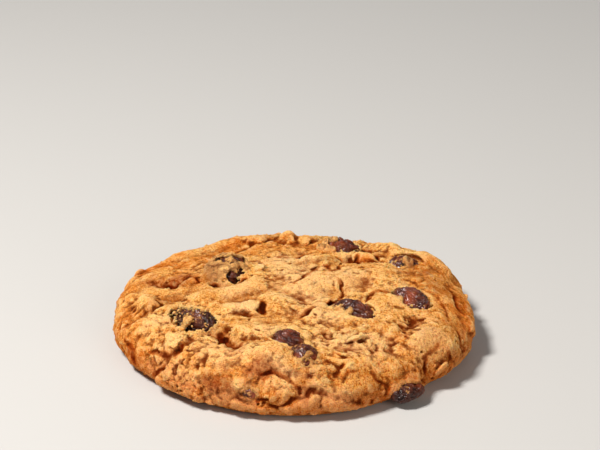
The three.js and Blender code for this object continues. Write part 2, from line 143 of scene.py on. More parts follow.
# deep dark gaps, cut after the raisins are in and painted dark inside as painted shade: (half width, depth, points)
GAPS = [
    (1.2, 1.8, [(-14.6, 4.9, 13.2), (-13.1, 3.4, 13.3), (-11.9, 3.9, 13.4)]),
    (2.0, 3.2, [(12.4, 17.1, 13.4), (14.6, 16.3, 13.6)]),
    (1.5, 2.6, [(12.6, 15.4, 13.4), (14.3, 15.1, 13.4)]),
    (0.7, 1.3, [(8, -10.5, 13.4), (9.4, -8.8, 13.5), (11.6, -7.6, 13.5), (13.5, -8.7, 13.4)]),
    (0.8, 0.9, [(-19, 22, 12), (-17.8, 17.9, 12.4)]),
    (0.9, 1.1, [(-13.7, 20.9, 12.5), (-12.8, 15.8, 13)]),
    (0.8, 1.4, [(-19.1, 2.4, 13), (-16.9, 1.3, 13.2)]),
    (1.1, 1.3, [(-27.6, -11.2, 12.5), (-25.7, -12.6, 12.6)]),
    (0.8, 1.0, [(20.8, 18.2, 13.6), (21, 16, 13.7)]),
    (0.9, 1.4, [(-7.3, -10.6, 14), (-7.1, -13.5, 13.5), (-7, -15.9, 13.3)]),
    (0.8, 0.9, [(-17.1, -24.1, 12.8), (-15.4, -26.7, 12.7)]),
    (0.5, 0.5, [(-23, 4.3, 12.7), (-23.6, 6.4, 12.6)]),
    (0.6, 0.6, [(26.4, -26, 13.3), (25.7, -27.2, 12.9)]),
    (0.5, 0.5, [(-7.2, -41.9, 10.4), (-5.2, -41.4, 10.9)]),
    (0.6, 0.7, [(-25.5, -28.4, 11.2), (-25.9, -29.7, 10.6)]),
    (0.6, 0.6, [(-7.9, -44.7, 5.3), (-6.1, -45.2, 5.8)]),
]
# the far side carries the same kind of lumps
FAR_LUMPS = dict(count=13, start=20, end=168, height=6.2, swing=2.6, reach=4.4, rise=0.9)
# where the crust is rougher (+) or smoother (-) than elsewhere: (reach, amount, points)
TEXTURE = [
    (9, -0.55, [(8.9, 0.6, 14.2), (21, 4.3, 14.2)]),  # smooth upper plateau
    (7, -0.5, [(30.3, -26, 12.6), (33.9, -25.5, 11.1)]),  # smooth mound
    (6, -0.4, [(19.9, -13.4, 13.7), (23.9, -15.8, 13)]),  # smooth middle right
    (6, -0.25, [(-5.6, 10, 13.4), (1.7, 15, 13.3)]),  # smooth behind the middle
    (6, -0.35, [(-13.2, -35.5, 12.8), (-5.2, -36.5, 13.3)]),  # smooth front mound
    (8, -0.5, [(-1.2, -1, 13.9), (5.2, -6.3, 13.7)]),  # smooth middle
    (8, -0.55, [(-37.3, 8, 10.3), (-29.4, 20.5, 11), (-19.7, 28, 11.6)]),  # smooth far left
    (7, -0.35, [(-9.5, 20.9, 12.7), (1.7, 23.6, 12.9), (14, 14.7, 13.5)]),  # smooth far middle
    (7, -0.55, [(31, 8.7, 13.4), (37, -0.4, 12.1), (39.8, -13.7, 9.4)]),  # smooth right shoulder
    (6, -0.4, [(-21, -5.3, 13.8), (-10.3, -1.9, 14.1)]),  # smooth lip
    (7, 0.5, [(-29.2, -33.8, 5.5), (-22.2, -39.1, 5.6)]),  # rough jutting lump
    (7, 0.5, [(10.3, -28.8, 13.1), (16.4, -29.8, 12.6)]),  # crumbly middle
    (5, -0.5, [(11.6, -43.5, 7.7), (16.4, -41.5, 7.7)]),  # smooth front right clump
    (4, -0.4, [(-1.8, -46, 4.5), (4.2, -45.9, 4.7)]),  # smooth front rim
    (6, -0.3, [(20.8, -38, 7.9), (24.7, -35.4, 8.7)]),  # smooth right front
    (6, 0.3, [(-25.8, -31.6, 10.2), (-33.1, -24.8, 8.3)]),  # rough left front
    (6, 0.35, [(-26.7, -11.9, 12.6), (-19.2, -23.4, 12.7)]),  # crumbly round the left raisin
    (7, 0.35, [(32.6, -29.3, 6.5), (38.8, -22, 6.8)]),  # rough right edge
]
# tints of the crust: (kind, reach, amount, points); the browning tints are browner bake on the rim and painted shade in
# hollows, crevices, undercuts and on the front faces of lumps
TINTS = [
    ("pale", 3.4, 0.45, [(-27.6, -27, 11.9)]),
    ("pale", 3.4, 0.6, [(-13.4, -12.3, 14), (-10.1, -12.3, 14.1)]),
    ("pale", 2.6, 0.6, [(-11.9, -43, 8.7)]),
    ("pale", 2.6, 0.5, [(-1.7, -8.5, 14.1), (-0.3, -7.9, 13.9)]),
    ("pale", 4, 0.45, [(-33.9, -17.4, 11.3), (-31.1, -17.7, 12.1)]),
    ("pale", 8, 0.4, [(8.9, 0.6, 14.2), (13.8, 3.9, 14.4)]),
    ("pale", 7, 0.45, [(29.1, -27.8, 12.1), (33, -23.8, 12.3)]),
    ("pale", 2.2, 0.5, [(-8.5, 8.8, 14.2)]),
    ("pale", 5, 0.45, [(-8.3, -25, 13.4), (-4.2, -27.1, 13.1)]),
    ("pale", 2.4, 0.5, [(26, 7.5, 13.9)]),
    ("pale", 4, 0.4, [(-16.3, -3.5, 14), (-10.3, -1, 14.2)]),
    ("pale", 8, 0.5, [(-0.7, 13.1, 13.4), (4, -8.3, 13.5)]),
    ("pale", 8, 0.45, [(11.9, -29.6, 13), (18.7, -30.3, 12.1)]),
    ("pale", 6, 0.4, [(-20, -33.8, 12), (-10.9, -35.2, 13.2)]),
    ("pale", 5, 0.4, [(5.8, -16.6, 14.1), (9.7, -19.2, 13.8)]),
    # painted shade on the front faces of two front lumps, with browner bake
    ("brown_and_shade", 3.4, 1.0, [(-19.2, -39.7, 8.6), (-16, -41.4, 8.2)]),
    ("brown_and_shade", 3.2, 1.0, [(-8.6, -41.4, 10.6), (-7, -39.6, 12.3)]),
    # painted shade in the hollow right of the left raisin and in the broad crevice
    ("brown_and_shade", 3.4, 0.6, [(-18.5, -23.4, 12.7), (-15.7, -26.6, 12.7), (-13.4, -33.2, 13.2)]),
    ("brown_and_shade", 2.6, 0.3, [(23.6, -27.3, 12.7), (25.5, -24.7, 13.5), (28.7, -17.9, 12.9)]),
    ("grey", 2.6, 0.7, [(-20.8, 9.5, 13.1), (-19.6, 4.3, 12.9)]),
    ("grey", 2.8, 0.7, [(8.1, 16.2, 13.4), (10.1, 13.5, 13.5)]),
    ("grey", 2.6, 0.8, [(3.3, -38, 11.8)]),
    ("brown_and_shade", 2.4, 0.35, [(4.2, -38.3, 11.6), (6, -41.7, 10.8)]),
    ("grey", 3.0, 0.3, [(-17.6, 16.9, 12.6)]),
    # painted shade along crevices, grooves and the undercut of the pale lump
    ("brown_and_shade", 2.4, 0.5, [(-19.7, 7.9, 13.2), (-18.6, 3.6, 13), (-16.2, 2.6, 13.2)]),
    ("brown_and_shade", 2.0, 0.4, [(-10.6, 16.7, 12.9), (-9.6, 12.9, 13.2)]),
    ("brown_and_shade", 2.2, 0.7, [(-12.4, -16.1, 13.2), (-9.1, -16.8, 13.3)]),
    ("brown_and_shade", 3.0, 0.55, [(-33.4, -9.5, 13.1), (-31.6, -6.6, 12.8)]),
    ("brown_and_shade", 2.2, 0.6, [(-10.6, -43.7, 6.3)]),
    ("brown_and_shade", 3.0, 0.6, [(2.9, -41.5, 10.2), (2.9, -44.7, 7.3)]),
    ("brown_and_shade", 3.5, 0.4, [(28.4, 5.4, 13.7), (31.9, 3.4, 13.3)]),
    ("red", 3.8, 1.0, [(-33.7, 8.4, 11.5), (-29.8, 5.1, 12.1), (-26.6, 7.6, 12.3)]),
    ("red", 2.6, 0.6, [(21.3, 18.7, 13.4)]),
    ("red", 2.0, 0.5, [(-11.9, 15.9, 13)]),
    ("red", 1.6, 0.5, [(-39.4, -12.7, 8.6), (-37.3, -12.8, 10.2)]),
    ("red", 1.8, 0.45, [(-39.7, -16.9, 5.8), (-37.6, -21.1, 5.2)]),
    ("red", 1.8, 0.5, [(34.7, 13.6, 12.8), (32.4, 8.9, 13.3)]),
    ("red", 1.4, 0.4, [(0.7, -17.6, 13.3), (3.5, -16.2, 14)]),
    ("red", 3.4, 0.25, [(12.7, -44, 3.9), (20.8, -38.3, 2.6), (26.1, -36, 6.5)]),
    ("red", 3.0, 0.15, [(-0.7, -46.2, 3.5), (8.2, -44.8, 2.8)]),
    ("red", 4.0, 0.12, [(32.9, -28.4, 3.3), (37.7, -24.3, 6.4)]),
    ("pale", 5, 0.25, [(38.5, -21.6, 3.1), (41.7, -15.2, 4.7)]),
    ("orange", 7, 0.8, [(-35.6, 19, 9.5), (-26.8, 19.2, 11.6), (-15.8, 26, 12), (-3.3, 27.7, 12.6), (6.8, 27.1, 12.8)]),
    ("orange", 3, 0.8, [(17.8, 16.1, 14.2)]),
    ("orange", 7, 0.85, [(33.5, 10.6, 13.1), (36.8, 3.7, 12.1), (37.5, -4.8, 11.9)]),
    ("orange", 4.0, 0.2, [(-28.5, -34.6, 5.1), (-24.3, -38.1, 5.3)]),
    ("orange", 5, 0.2, [(-19.7, -40.3, 3.6), (-9.7, -44.6, 3.3)]),
    ("pale", 3.6, 0.6, [(-18.8, -40.8, 4.4), (-11.9, -43.9, 3.9)]),
    ("pale", 5, 0.6, [(3.8, -44.9, 6.9), (10.9, -44.5, 5.4)]),
    ("brown_and_shade", 6, 0.42, [(29.1, 9.8, 13.4), (35.3, -0.7, 12.7)]),
    ("brown_and_shade", 5, 0.3, [(-40.5, 13.9, 7.1), (-36.3, 14.5, 9.9)]),
    ("brown_and_shade", 5, 0.25, [(5.6, -39.1, 11.5), (10.1, -40.5, 10.2)]),
    ("orange", 4, 0.35, [(15.4, -42.8, 4.8), (21.5, -38.4, 3.1)]),
    ("pale", 5.5, 0.5, [(-30.6, -29.3, 7.4), (-22.9, -38, 7.5)]),
    ("orange", 5, 0.3, [(-40.1, -5.5, 9.7), (-41.4, -13.1, 5.4), (-38.2, -19.9, 3.4)]),
    ("orange", 6, 0.7, [(40.4, 2.4, 10), (41.8, -5, 9.4), (41.7, -13.5, 6.7)]),
    ("orange", 5, 0.4, [(-8.2, 23, 12.7), (-4.5, 25.5, 12.7)]),
    ("orange", 4, 0.5, [(-9.7, -41.2, 10.6), (-7, -39.6, 12.3)]),
    ("orange", 5, 0.5, [(-27.8, 13.5, 11.9), (-22.6, 6.7, 12.7)]),
    ("orange", 4, 0.5, [(31.3, -7.4, 13.1), (35.6, -14.8, 11.7)]),
    ("orange", 5.5, 0.8, [(27, 7.8, 13.7), (31.6, 1.6, 13.3), (35.3, -0.7, 12.7)]),
    ("pale", 5, 0.7, [(-6.1, -39.7, 12.3), (-2.1, -42.9, 9.9)]),
    ("brown_and_shade", 3.0, 0.5, [(1.6, -34.1, 12.6), (3.6, -38.3, 11.6)]),
    ("orange", 4, 0.4, [(21.3, -20.9, 12.8), (24.6, -25.7, 13.2)]),
]
# oat flakes that can be made out: (half length, where)
FLAKES = [
    (2.3, (-27.6, -27, 11.9)),
    (2.0, (-12.5, -12.8, 14)),
    (1.7, (-11.9, -43, 8.7)),
    (2.0, (-8.5, 8.8, 14.2)),
    (1.6, (-1, -8.2, 14)),
    (1.8, (26, 7.5, 13.9)),
    (2.2, (-33.9, -17.8, 11.2)),
    (1.6, (-20.1, -38.8, 9.4)),
    (1.5, (-32, -8.7, 13.2)),
    (1.6, (5.6, -40.9, 11.4)),
    (1.2, (13.5, -26.7, 12.9)),
    (1.5, (-15.1, -41.2, 9.1)),
    (1.6, (-22.2, -30.5, 12)),
]
FLAKE_COUNT = 26                 # others, anywhere on the crust
# crumbs: how many all over, and heaps: (spread, how many, where)
CRUMB_COUNT = 8400
CRUMB_HEAPS = [
    (2.2, 34, (-24.1, -15.5, 12.7)),
    (3.0, 30, (-22.4, -24.9, 12.4)),
    (3.0, 40, (13, -27.5, 13)),
    (3.0, 36, (7.1, -42.9, 9.8)),
    (3.0, 30, (-26.1, -36.6, 5.4)),
    (2.0, 14, (-12.1, 15.9, 13)),
    (2.0, 12, (9.1, 14.8, 13.4)),
    (2.0, 10, (27.3, 14.8, 13.4)),
    (2.6, 26, (36.2, -26.3, 5.8)),
]
# raisins: CAD node: (half length, half width, half thickness, heading, slope, arch, phase, taper)
RAISINS = {
    "raisin_upper_left": (6.6, 5.2, 3.3, 74, 4, 0.5, 0.3, 0.1),
    "raisin_left": (6.8, 4.2, 3, -49, -2, 0.3, 1.9, 0.1),
    "raisin_front": (3.5, 3.3, 2.7, -30, -6, 0.2, 2.6, -0.1),
    "raisin_front_tail": (3.9, 2.8, 2.3, -70, -20, 0.3, 0.9, -0.1),
    "raisin_middle_bent": (7, 3, 2.5, -20, -2, 2, 1.2, 0.4),
    "raisin_right": (5.5, 3.9, 3.1, -53, -4, 0.4, 3.4, 0.0),
    "raisin_upper_right": (3.8, 3.2, 2.5, 15, 0, 0.3, 0.6, -0.1),
    "raisin_back": (5.2, 4.3, 3.1, -6, 0, 0.3, 2.2, -0.2),
    "raisin_under_edge": (4.4, 3.4, 2.3, 37, 0, 0.0, 1.5, 0.0),
    "raisin_edge_small": (2.0, 1.5, 1.4, -12, 4, 0.0, 2.9, 0.0),
}
# dough skin over raisins: node: (covered all over?, [(reach, point)] of the exceptions)
FILMS = {
    "raisin_upper_left": (True, [(1.2, (-17.8, 10.7, 16)), (1.6, (-13.2, 11.4, 15.7)), (0.9, (-18.7, 3.9, 12.6)), (0.9, (-16.7, 3.5, 12.5)), (1.8, (-13.8, 4.8, 13.5)), (2.0, (-12.4, 6.1, 13))]),
    "raisin_left": (False, [(1.2, (-24.4, -20, 13.5)), (0.9, (-21.2, -18.1, 14.1)), (0.7, (-25.6, -20.5, 11.9)), (0.6, (-20.2, -21.2, 13))]),
    "raisin_front": (False, [(0.9, (2.3, -29.3, 13.4))]),
    "raisin_front_tail": (True, [(1.4, (1.3, -36.2, 13.1)), (1.7, (4, -35.3, 13.2)), (1.0, (3.1, -39.3, 11.8)), (0.9, (4.7, -37.8, 12.4))]),
    "raisin_middle_bent": (False, [(1.5, (9.1, -14.3, 12.6)), (1.6, (11.4, -15.6, 13)), (1.2, (13.1, -16.1, 13.3)), (0.7, (14.5, -15.2, 14.8))]),
    "raisin_right": (False, [(1.0, (25.3, -9.1, 13.8))]),
    "raisin_upper_right": (False, [(1.5, (28.2, 12.9, 14.5))]),
    "raisin_back": (False, [(2.8, (9, 20.8, 11.7)), (1.8, (7, 22.3, 12.4)), (1.3, (11.2, 20.3, 11.3)), (1.2, (10, 23.2, 15.8)), (1.2, (8.2, 22.9, 15.1))]),
    "raisin_under_edge": (False, [(2.3, (23.4, -35, 4.7)), (2.3, (25.3, -34.1, 5)), (2.2, (27.1, -33.5, 4.8))]),
    "raisin_edge_small": (True, [(1.1, (-10.3, -44.3, 6.8)), (0.8, (-9.2, -44.5, 6.2))]),
}


# ------------------------------------------------------------------ helpers
def smoothstep(a, b, v):
    t = np.clip((v - a) / (b - a), 0, 1)
    return t * t * (3 - 2 * t)


def waves(table, angle):
    return sum(c * np.cos(k * angle) + s * np.sin(k * angle) for k, c, s in table)


def outline(angle):
    return MEAN_RADIUS + waves(OUTLINE_WAVES, angle)


def top_height(angle, part):
    return TOP_HEIGHT + CROWN * (1 - part * part) + part * part * waves(TOP_WAVES, angle)


def form(x, y, z):
    """Signed distance, roughly, to the plain form of the cookie."""
    r = np.hypot(x, y)
    a = np.arctan2(y, x)
    R = outline(a)
    part = np.clip(r / R, 0, 1)
    top = top_height(a, part)
    r0, r1 = R - UPPER_EDGE, R - LOWER_EDGE
    # upper edge
    b = top - WIDEST_AT
    q0, q1 = np.maximum(r - r0, 0) / UPPER_EDGE, np.maximum(z - WIDEST_AT, 0) / b
    k = np.sqrt(q0 * q0 + q1 * q1) + 1e-6
    up = (k - 1) * k / np.sqrt((q0 / UPPER_EDGE) ** 2 + (q1 / b) ** 2 + 1e-9)
    up = np.where(r < r0, z - top, up)
    # lower edge
    q0, q1 = np.maximum(r - r1, 0) / LOWER_EDGE, np.maximum(WIDEST_AT - z, 0) / WIDEST_AT
    k = np.sqrt(q0 * q0 + q1 * q1) + 1e-6
    low = (k - 1) * k / np.sqrt((q0 / LOWER_EDGE) ** 2 + (q1 / WIDEST_AT) ** 2 + 1e-9)
    low = np.where(r < r1, -z, low)
    return np.where(z >= WIDEST_AT, up, low)


def form_normal(p):
    p = np.asarray(p, float)
    h = 0.05
    g = [form(*(p + d)) - form(*(p - d)) for d in np.eye(3) * h]
    g = np.array(g, float)
    return g / (np.linalg.norm(g) + 1e-9)


# dense grid
LO = np.array([-49.0, -50.0, -1.0])
HI = np.array([49.0, 50.0, 18.5])
N = np.ceil((HI - LO) / VOXEL).astype(int)
AX = [(LO[i] + VOXEL * np.arange(N[i])).astype(f32) for i in range(3)]


def bspline(n_out, axis, spacing, seed_shift):
    """Weights that carry a lattice of the given spacing to the grid along one axis."""
    t = (AX[axis] - LO[axis]) / spacing + seed_shift
    i = np.floor(t).astype(int)
    f = t - i
    w = np.stack([(1 - f) ** 3, 3 * f ** 3 - 6 * f ** 2 + 4, -3 * f ** 3 + 3 * f ** 2 + 3 * f + 1, f ** 3], 1) / 6
    m = np.zeros((n_out, int(i.max()) + 4), f32)
    for k in range(4):
        m[np.arange(n_out), i + k] = w[:, k]
    return m


def grid_noise(spacing, seed, stretch=(1, 1, 1)):
    """Smooth noise on the whole grid, about unit strength. Features are about twice the spacing wide."""
    g = np.random.default_rng(seed)
    ms = [bspline(N[i], i, spacing * stretch[i], g.random()) for i in range(3)]
    lattice = g.standard_normal([m.shape[1] for m in ms]).astype(f32)
    a = np.tensordot(ms[0], lattice, (1, 0))
    a = np.tensordot(a, ms[1], (1, 1))       # x, z', y
    a = np.tensordot(a, ms[2], (1, 1))       # x, y, z
    return a / f32(0.33)


def point_noise(p, spacing, seed):
    """The same kind of noise at single points, p of shape (n, 3)."""
    g = np.random.default_rng(seed)
    size = 24
    lattice = g.standard_normal((size, size, size))
    t = p / spacing + g.random(3) * 7 + 100 * size
    i = np.floor(t).astype(int)
    f = t - i
    w = np.stack([(1 - f) ** 3, 3 * f ** 3 - 6 * f ** 2 + 4, -3 * f ** 3 + 3 * f ** 2 + 3 * f + 1, f ** 3], 0) / 6
    out = np.zeros(len(p))
    for a in range(4):
        for b in range(4):
            for c in range(4):
                out += w[a, :, 0] * w[b, :, 1] * w[c, :, 2] * lattice[(i[:, 0] + a) % size, (i[:, 1] + b) % size, (i[:, 2] + c) % size]
    return out / 0.33


def window(lo, hi):
    """Slices of the grid that hold the box lo..hi, with its coordinates."""
    i0 = np.clip(np.floor((np.asarray(lo) - LO) / VOXEL).astype(int), 0, N - 1)
    i1 = np.clip(np.ceil((np.asarray(hi) - LO) / VOXEL).astype(int) + 1, 1, N)
    s = tuple(slice(a, b) for a, b in zip(i0, i1))
    return s, AX[0][s[0]][:, None, None], AX[1][s[1]][None, :, None], AX[2][s[2]][None, None, :]


def smin(a, b, k):
    h = np.clip(0.5 + 0.5 * (b - a) / k, 0, 1)
    return b + (a - b) * h - k * h * (1 - h)


def smax(a, b, k):
    return -smin(-a, -b, k)


def along(pts, x, y, z, flatten=0.1, normals=None):
    """Distance to a run of points, with the part across the crust counted at `flatten`; and how far along, 0..1."""
    pts = np.asarray(pts, float)
    if normals is None:
        normals = np.array([form_normal(p) for p in pts])
    best = None
    steps = np.linalg.norm(np.diff(pts, axis=0), axis=1) if len(pts) > 1 else np.array([1.0])
    total, gone = steps.sum(), 0.0
    for i in range(max(1, len(pts) - 1)):
        a = pts[i]
        n = normals[i]
        if len(pts) > 1:
            d = pts[i + 1] - a
            n = normals[i] + normals[i + 1]
            n /= np.linalg.norm(n)
            ll = float(d @ d) + 1e-9
            t = np.clip(((x - a[0]) * d[0] + (y - a[1]) * d[1] + (z - a[2]) * d[2]) / ll, 0, 1)
        else:
            d, t = np.zeros(3), 0.0
        ex, ey, ez = x - a[0] - t * d[0], y - a[1] - t * d[1], z - a[2] - t * d[2]
        across = ex * n[0] + ey * n[1] + ez * n[2]
        e = ex * ex + ey * ey + ez * ez - (1 - flatten * flatten) * across * across
        e = np.where(np.abs(across) > 5.0, 1e6, e)
        s = (gone + t * steps[i]) / total + np.zeros_like(e)
        gone += steps[i]
        if best is None:
            best, pos = e, s
        else:
            pos = np.where(e < best, s, pos)
            best = np.minimum(best, e)
    return np.sqrt(np.maximum(best, 0)), pos


# ------------------------------------------------------------------ the dough as a distance field
X, Y, Z = AX[0][:, None, None], AX[1][None, :, None], AX[2][None, None, :]
D = np.clip(form(X, Y, Z), -3.5, 3.5).astype(f32)
LIMIT = 3.5
keep_z = smoothstep(0.3, 2.8, AX[2])[None, None, :].astype(f32)     # nothing moves at the underside


def raise_along(reach, rise, pts, sharp=2.0, flatten=0.35):
    pts = np.asarray(pts, float)
    m = reach + 4.0
    s, x, y, z = window(pts.min(0) - m, pts.max(0) + m)
    q, _ = along(pts, x, y, z, flatten)
    q = np.clip(q / reach, 0, 1)
    D[s] -= (rise * (1 - q * q) ** sharp * keep_z[:, :, s[2]]).astype(f32)


for reach, rise, pts in LUMPS:
    raise_along(reach, rise * 1.35, pts)
for i in range(FAR_LUMPS["count"]):
    a = math.radians(FAR_LUMPS["start"] + (FAR_LUMPS["end"] - FAR_LUMPS["start"]) * i / (FAR_LUMPS["count"] - 1))
    R = float(outline(np.float64(a)))
    raise_along(FAR_LUMPS["reach"] * (1 + 0.2 * math.sin(i * 5.1)), FAR_LUMPS["rise"] * (0.75 + 0.35 * math.cos(i * 3.3)),
                [(R * math.cos(a), R * math.sin(a), FAR_LUMPS["height"] + FAR_LUMPS["swing"] * math.sin(i * 2.4))])

warp = [grid_noise(2.2, 51 + i) * 0.45 + grid_noise(0.8, 61 + i) * 0.20 for i in range(2)]


def carve_along(width, depth, pts, flatten, uneven=None):
    """A groove of Gaussian section with wavering walls, dying out at its ends."""
    pts = np.asarray(pts, float)
    m = width * 2 + 4.0
    s, x, y, z = window(pts.min(0) - m, pts.max(0) + m)
    q, pos = along(pts, x + warp[0][s], y + warp[1][s], z, flatten)
    fade = 0.35 + 0.65 * np.sin(np.pi * np.clip(pos, 0.0, 1.0)) if len(pts) > 1 else 1.0
    w = width * (0.7 + 0.3 * fade)
    if uneven is not None:
        depth = depth * uneven[s]
    D[s] += (depth * fade * np.exp(-(q / w) ** 2 * 1.3) * keep_z[:, :, s[2]]).astype(f32)


for width, depth, pts in CREASES:
    if width >= 1.4:
        carve_along(width, depth * 1.15, pts, 0.35)

# rough and smooth stretches
rough = (0.62 + 0.22 * grid_noise(5.5, 11)).astype(f32)
for reach, amount, pts in TEXTURE:
    pts = np.asarray(pts, float)
    s, x, y, z = window(pts.min(0) - reach, pts.max(0) + reach)
    q, _ = along(pts, x, y, z, 0.3)
    q = np.clip(q / reach, 0, 1)
    rough[s] += (amount * (1 - q * q) ** 2).astype(f32)
rough = np.clip(rough, 0.12, 1.5)

# slow unevenness, then soft lumpy crumb at falling sizes
D -= ((0.30 * grid_noise(5.0, 21) + 0.16 * grid_noise(2.6, 22)) * 0.85 * keep_z).astype(f32)
D -= ((np.abs(grid_noise(2.1, 31)) * 0.20 - 0.12 + np.abs(grid_noise(0.95, 32)) * 0.10 - 0.06) * (0.15 + 0.85 * rough) * keep_z).astype(f32)


# ------------------------------------------------------------------ points on the crust for scattering
def sample(field, p):
    t = np.clip((p - LO) / VOXEL, 0, N - 1.001)
    i = np.floor(t).astype(int)
    f = (t - i).astype(f32)
    out = 0
    for a in (0, 1):
        for b in (0, 1):
            for c in (0, 1):
                w = (f[:, 0] if a else 1 - f[:, 0]) * (f[:, 1] if b else 1 - f[:, 1]) * (f[:, 2] if c else 1 - f[:, 2])
                out = out + w * field[i[:, 0] + a, i[:, 1] + b, i[:, 2] + c]
    return out


def gradient(field, p, h=0.5):
    g = np.stack([sample(field, p + d) - sample(field, p - d) for d in np.eye(3) * h], 1)
    return g / (np.linalg.norm(g, axis=1, keepdims=True) + 1e-9)


def crust_points(count, seed, low=1.6):
    """Points spread evenly over the top and the edge, on the present surface, with their normals."""
    g = np.random.default_rng(seed)
    pts = []
    while sum(len(p) for p in pts) < count:
        a = g.random(count) * 2 * math.pi
        r = MEAN_RADIUS * 1.06 * np.sqrt(g.random(count))
        z = g.random(count) * 16
        p = np.stack([r * np.cos(a), r * np.sin(a), z], 1)
        d = np.abs(form(p[:, 0], p[:, 1], p[:, 2]))
        pts.append(p[(d < 0.8) & (p[:, 2] > low)])
    p = np.concatenate(pts)[:count]
    for _ in range(5):
        p = p - gradient(D, p) * sample(D, p)[:, None]
    n = gradient(D, p)
    good = (np.abs(sample(D, p)) < 0.2) & (p[:, 2] > low)
    return p[good], n[good]


def frame_of(n, spin):
    """A tangent frame for each normal, turned by spin."""
    up = np.where(np.abs(n[:, 2:3]) > 0.9, np.array([[1.0, 0, 0]]), np.array([[0, 0, 1.0]]))
    t = np.cross(up, n)
    t /= np.linalg.norm(t, axis=1, keepdims=True)
    b = np.cross(n, t)
    c, s = np.cos(spin)[:, None], np.sin(spin)[:, None]
    return t * c + b * s, b * c - t * s, n


def splat(p, axes, half, blend, carve=False):
    """Joins (or carves) one small ellipsoid into the dough. axes: 3 unit rows, half: 3 half sizes."""
    m = float(max(half)) + 2 * blend + VOXEL
    s, x, y, z = window(p - m, p + m)
    x, y, z = x - p[0], y - p[1], z - p[2]
    q = [(x * axes[i][0] + y * axes[i][1] + z * axes[i][2]) / half[i] for i in range(3)]
    k = np.sqrt(q[0] ** 2 + q[1] ** 2 + q[2] ** 2) + 1e-6
    grad = np.sqrt((q[0] / half[0]) ** 2 + (q[1] / half[1]) ** 2 + (q[2] / half[2]) ** 2) + 1e-6
    e = (k - 1) * k / grad
    D[s] = smax(D[s], -e, blend) if carve else smin(D[s], e, blend)


# oat flakes and clots under the crust
p, n = crust_points(330, 41)
g = np.random.default_rng(42)
spin, tilt = g.random(len(p)) * 6.28, g.normal(0, 0.16, (len(p), 2))
n2 = n + tilt[:, :1] * np.roll(n, 1, 1) + tilt[:, 1:] * np.roll(n, 2, 1)
n2 /= np.linalg.norm(n2, axis=1, keepdims=True)
t, b, n2 = frame_of(n2, spin)
ro = sample(rough, p)
for i in range(len(p)):
    if ro[i] < g.random() * 0.45:
        continue
    L = g.uniform(1.3, 2.9)
    half = (L, L * g.uniform(0.6, 0.9), g.uniform(0.6, 1.1))
    sink = half[2] * g.uniform(0.45, 0.85) + 0.35 * (1 - min(1.0, ro[i]))
    splat(p[i] - n2[i] * sink, (t[i], b[i], n2[i]), half, 0.32)
# clots of crumb, thick in the rough stretches
p, n = crust_points(1500, 43)
g = np.random.default_rng(44)
ro = sample(rough, p)
t, b, _ = frame_of(n, g.random(len(p)) * 6.28)
for i in range(len(p)):
    if ro[i] < g.uniform(0.35, 1.2):
        continue
    r = g.uniform(0.4, 0.85)
    splat(p[i] - n[i] * g.uniform(0.5, 0.9) * r, (t[i], b[i], n[i]), (r * g.uniform(1.0, 1.6), r, r * g.uniform(0.6, 1.0)), 0.16)

# narrow creases and cracks, deeper here and shallower there
uneven = np.clip(0.62 + 0.5 * grid_noise(2.0, 55), 0.05, 1.25)
for width, depth, pts in CREASES:
    if width < 1.4:
        on_top = min(form_normal(q)[2] for q in pts) > 0.75
        carve_along(width * 0.75, depth * (1.15 if on_top else 0.9), pts, 0.15 if on_top else 0.35, uneven)
# fine wandering cracks in patches
c1 = grid_noise(3.4, 71) + 0.45 * grid_noise(1.1, 75)
m1 = smoothstep(0.6, 1.6, grid_noise(4.2, 73)) * np.clip(rough * 1.2 - 0.15, 0.05, 1.2)
D += (0.40 * np.exp(-(c1 / 0.10) ** 2) * m1 * keep_z).astype(f32)
c1 = grid_noise(1.7, 72) + 0.5 * grid_noise(0.8, 76)
m1 = smoothstep(0.0, 0.9, grid_noise(3.6, 74)) * smoothstep(0.45, 1.1, rough)
D += (0.20 * np.exp(-(c1 / 0.14) ** 2) * m1 * keep_z).astype(f32)
del c1, m1
# ------------------------------------------------------------------ raisins in the field
def raisin_axes(heading, slope):
    h, s = math.radians(heading), math.radians(slope)
    a = np.array([math.cos(h) * math.cos(s), math.sin(h) * math.cos(s), math.sin(s)])
    b = np.array([-math.sin(h), math.cos(h), 0.0])
    return a, b, np.cross(a, b)


def raisin_middle(name):
    """Where the CAD raisin lies: the middle of its box, moved down to the middle of an arched one."""
    lo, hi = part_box(name)
    c = (np.array(lo) + np.array(hi)) / 2 / MM
    return c + raisin_axes(*RAISINS[name][3:5])[2] * RAISINS[name][5] * 0.35


def raisin_field(name, x, y, z):
    L, W, T, heading, slope, arch, _, taper = RAISINS[name]
    c = raisin_middle(name)
    a, b, n = raisin_axes(heading, slope)
    x, y, z = x - c[0], y - c[1], z - c[2]
    u, v, w = (x * e[0] + y * e[1] + z * e[2] for e in (a, b, n))
    w = w + arch * (u / L) ** 2
    full = 1 + taper * np.clip(u / L, -1, 1)
    q0, q1, q2 = u / L, v / (W * full), w / (T * full)
    k = np.sqrt(q0 ** 2 + q1 ** 2 + q2 ** 2) + 1e-6
    return (k - 1) * k / (np.sqrt((q0 / L) ** 2 + (q1 / W) ** 2 + (q2 / T) ** 2) + 1e-6)


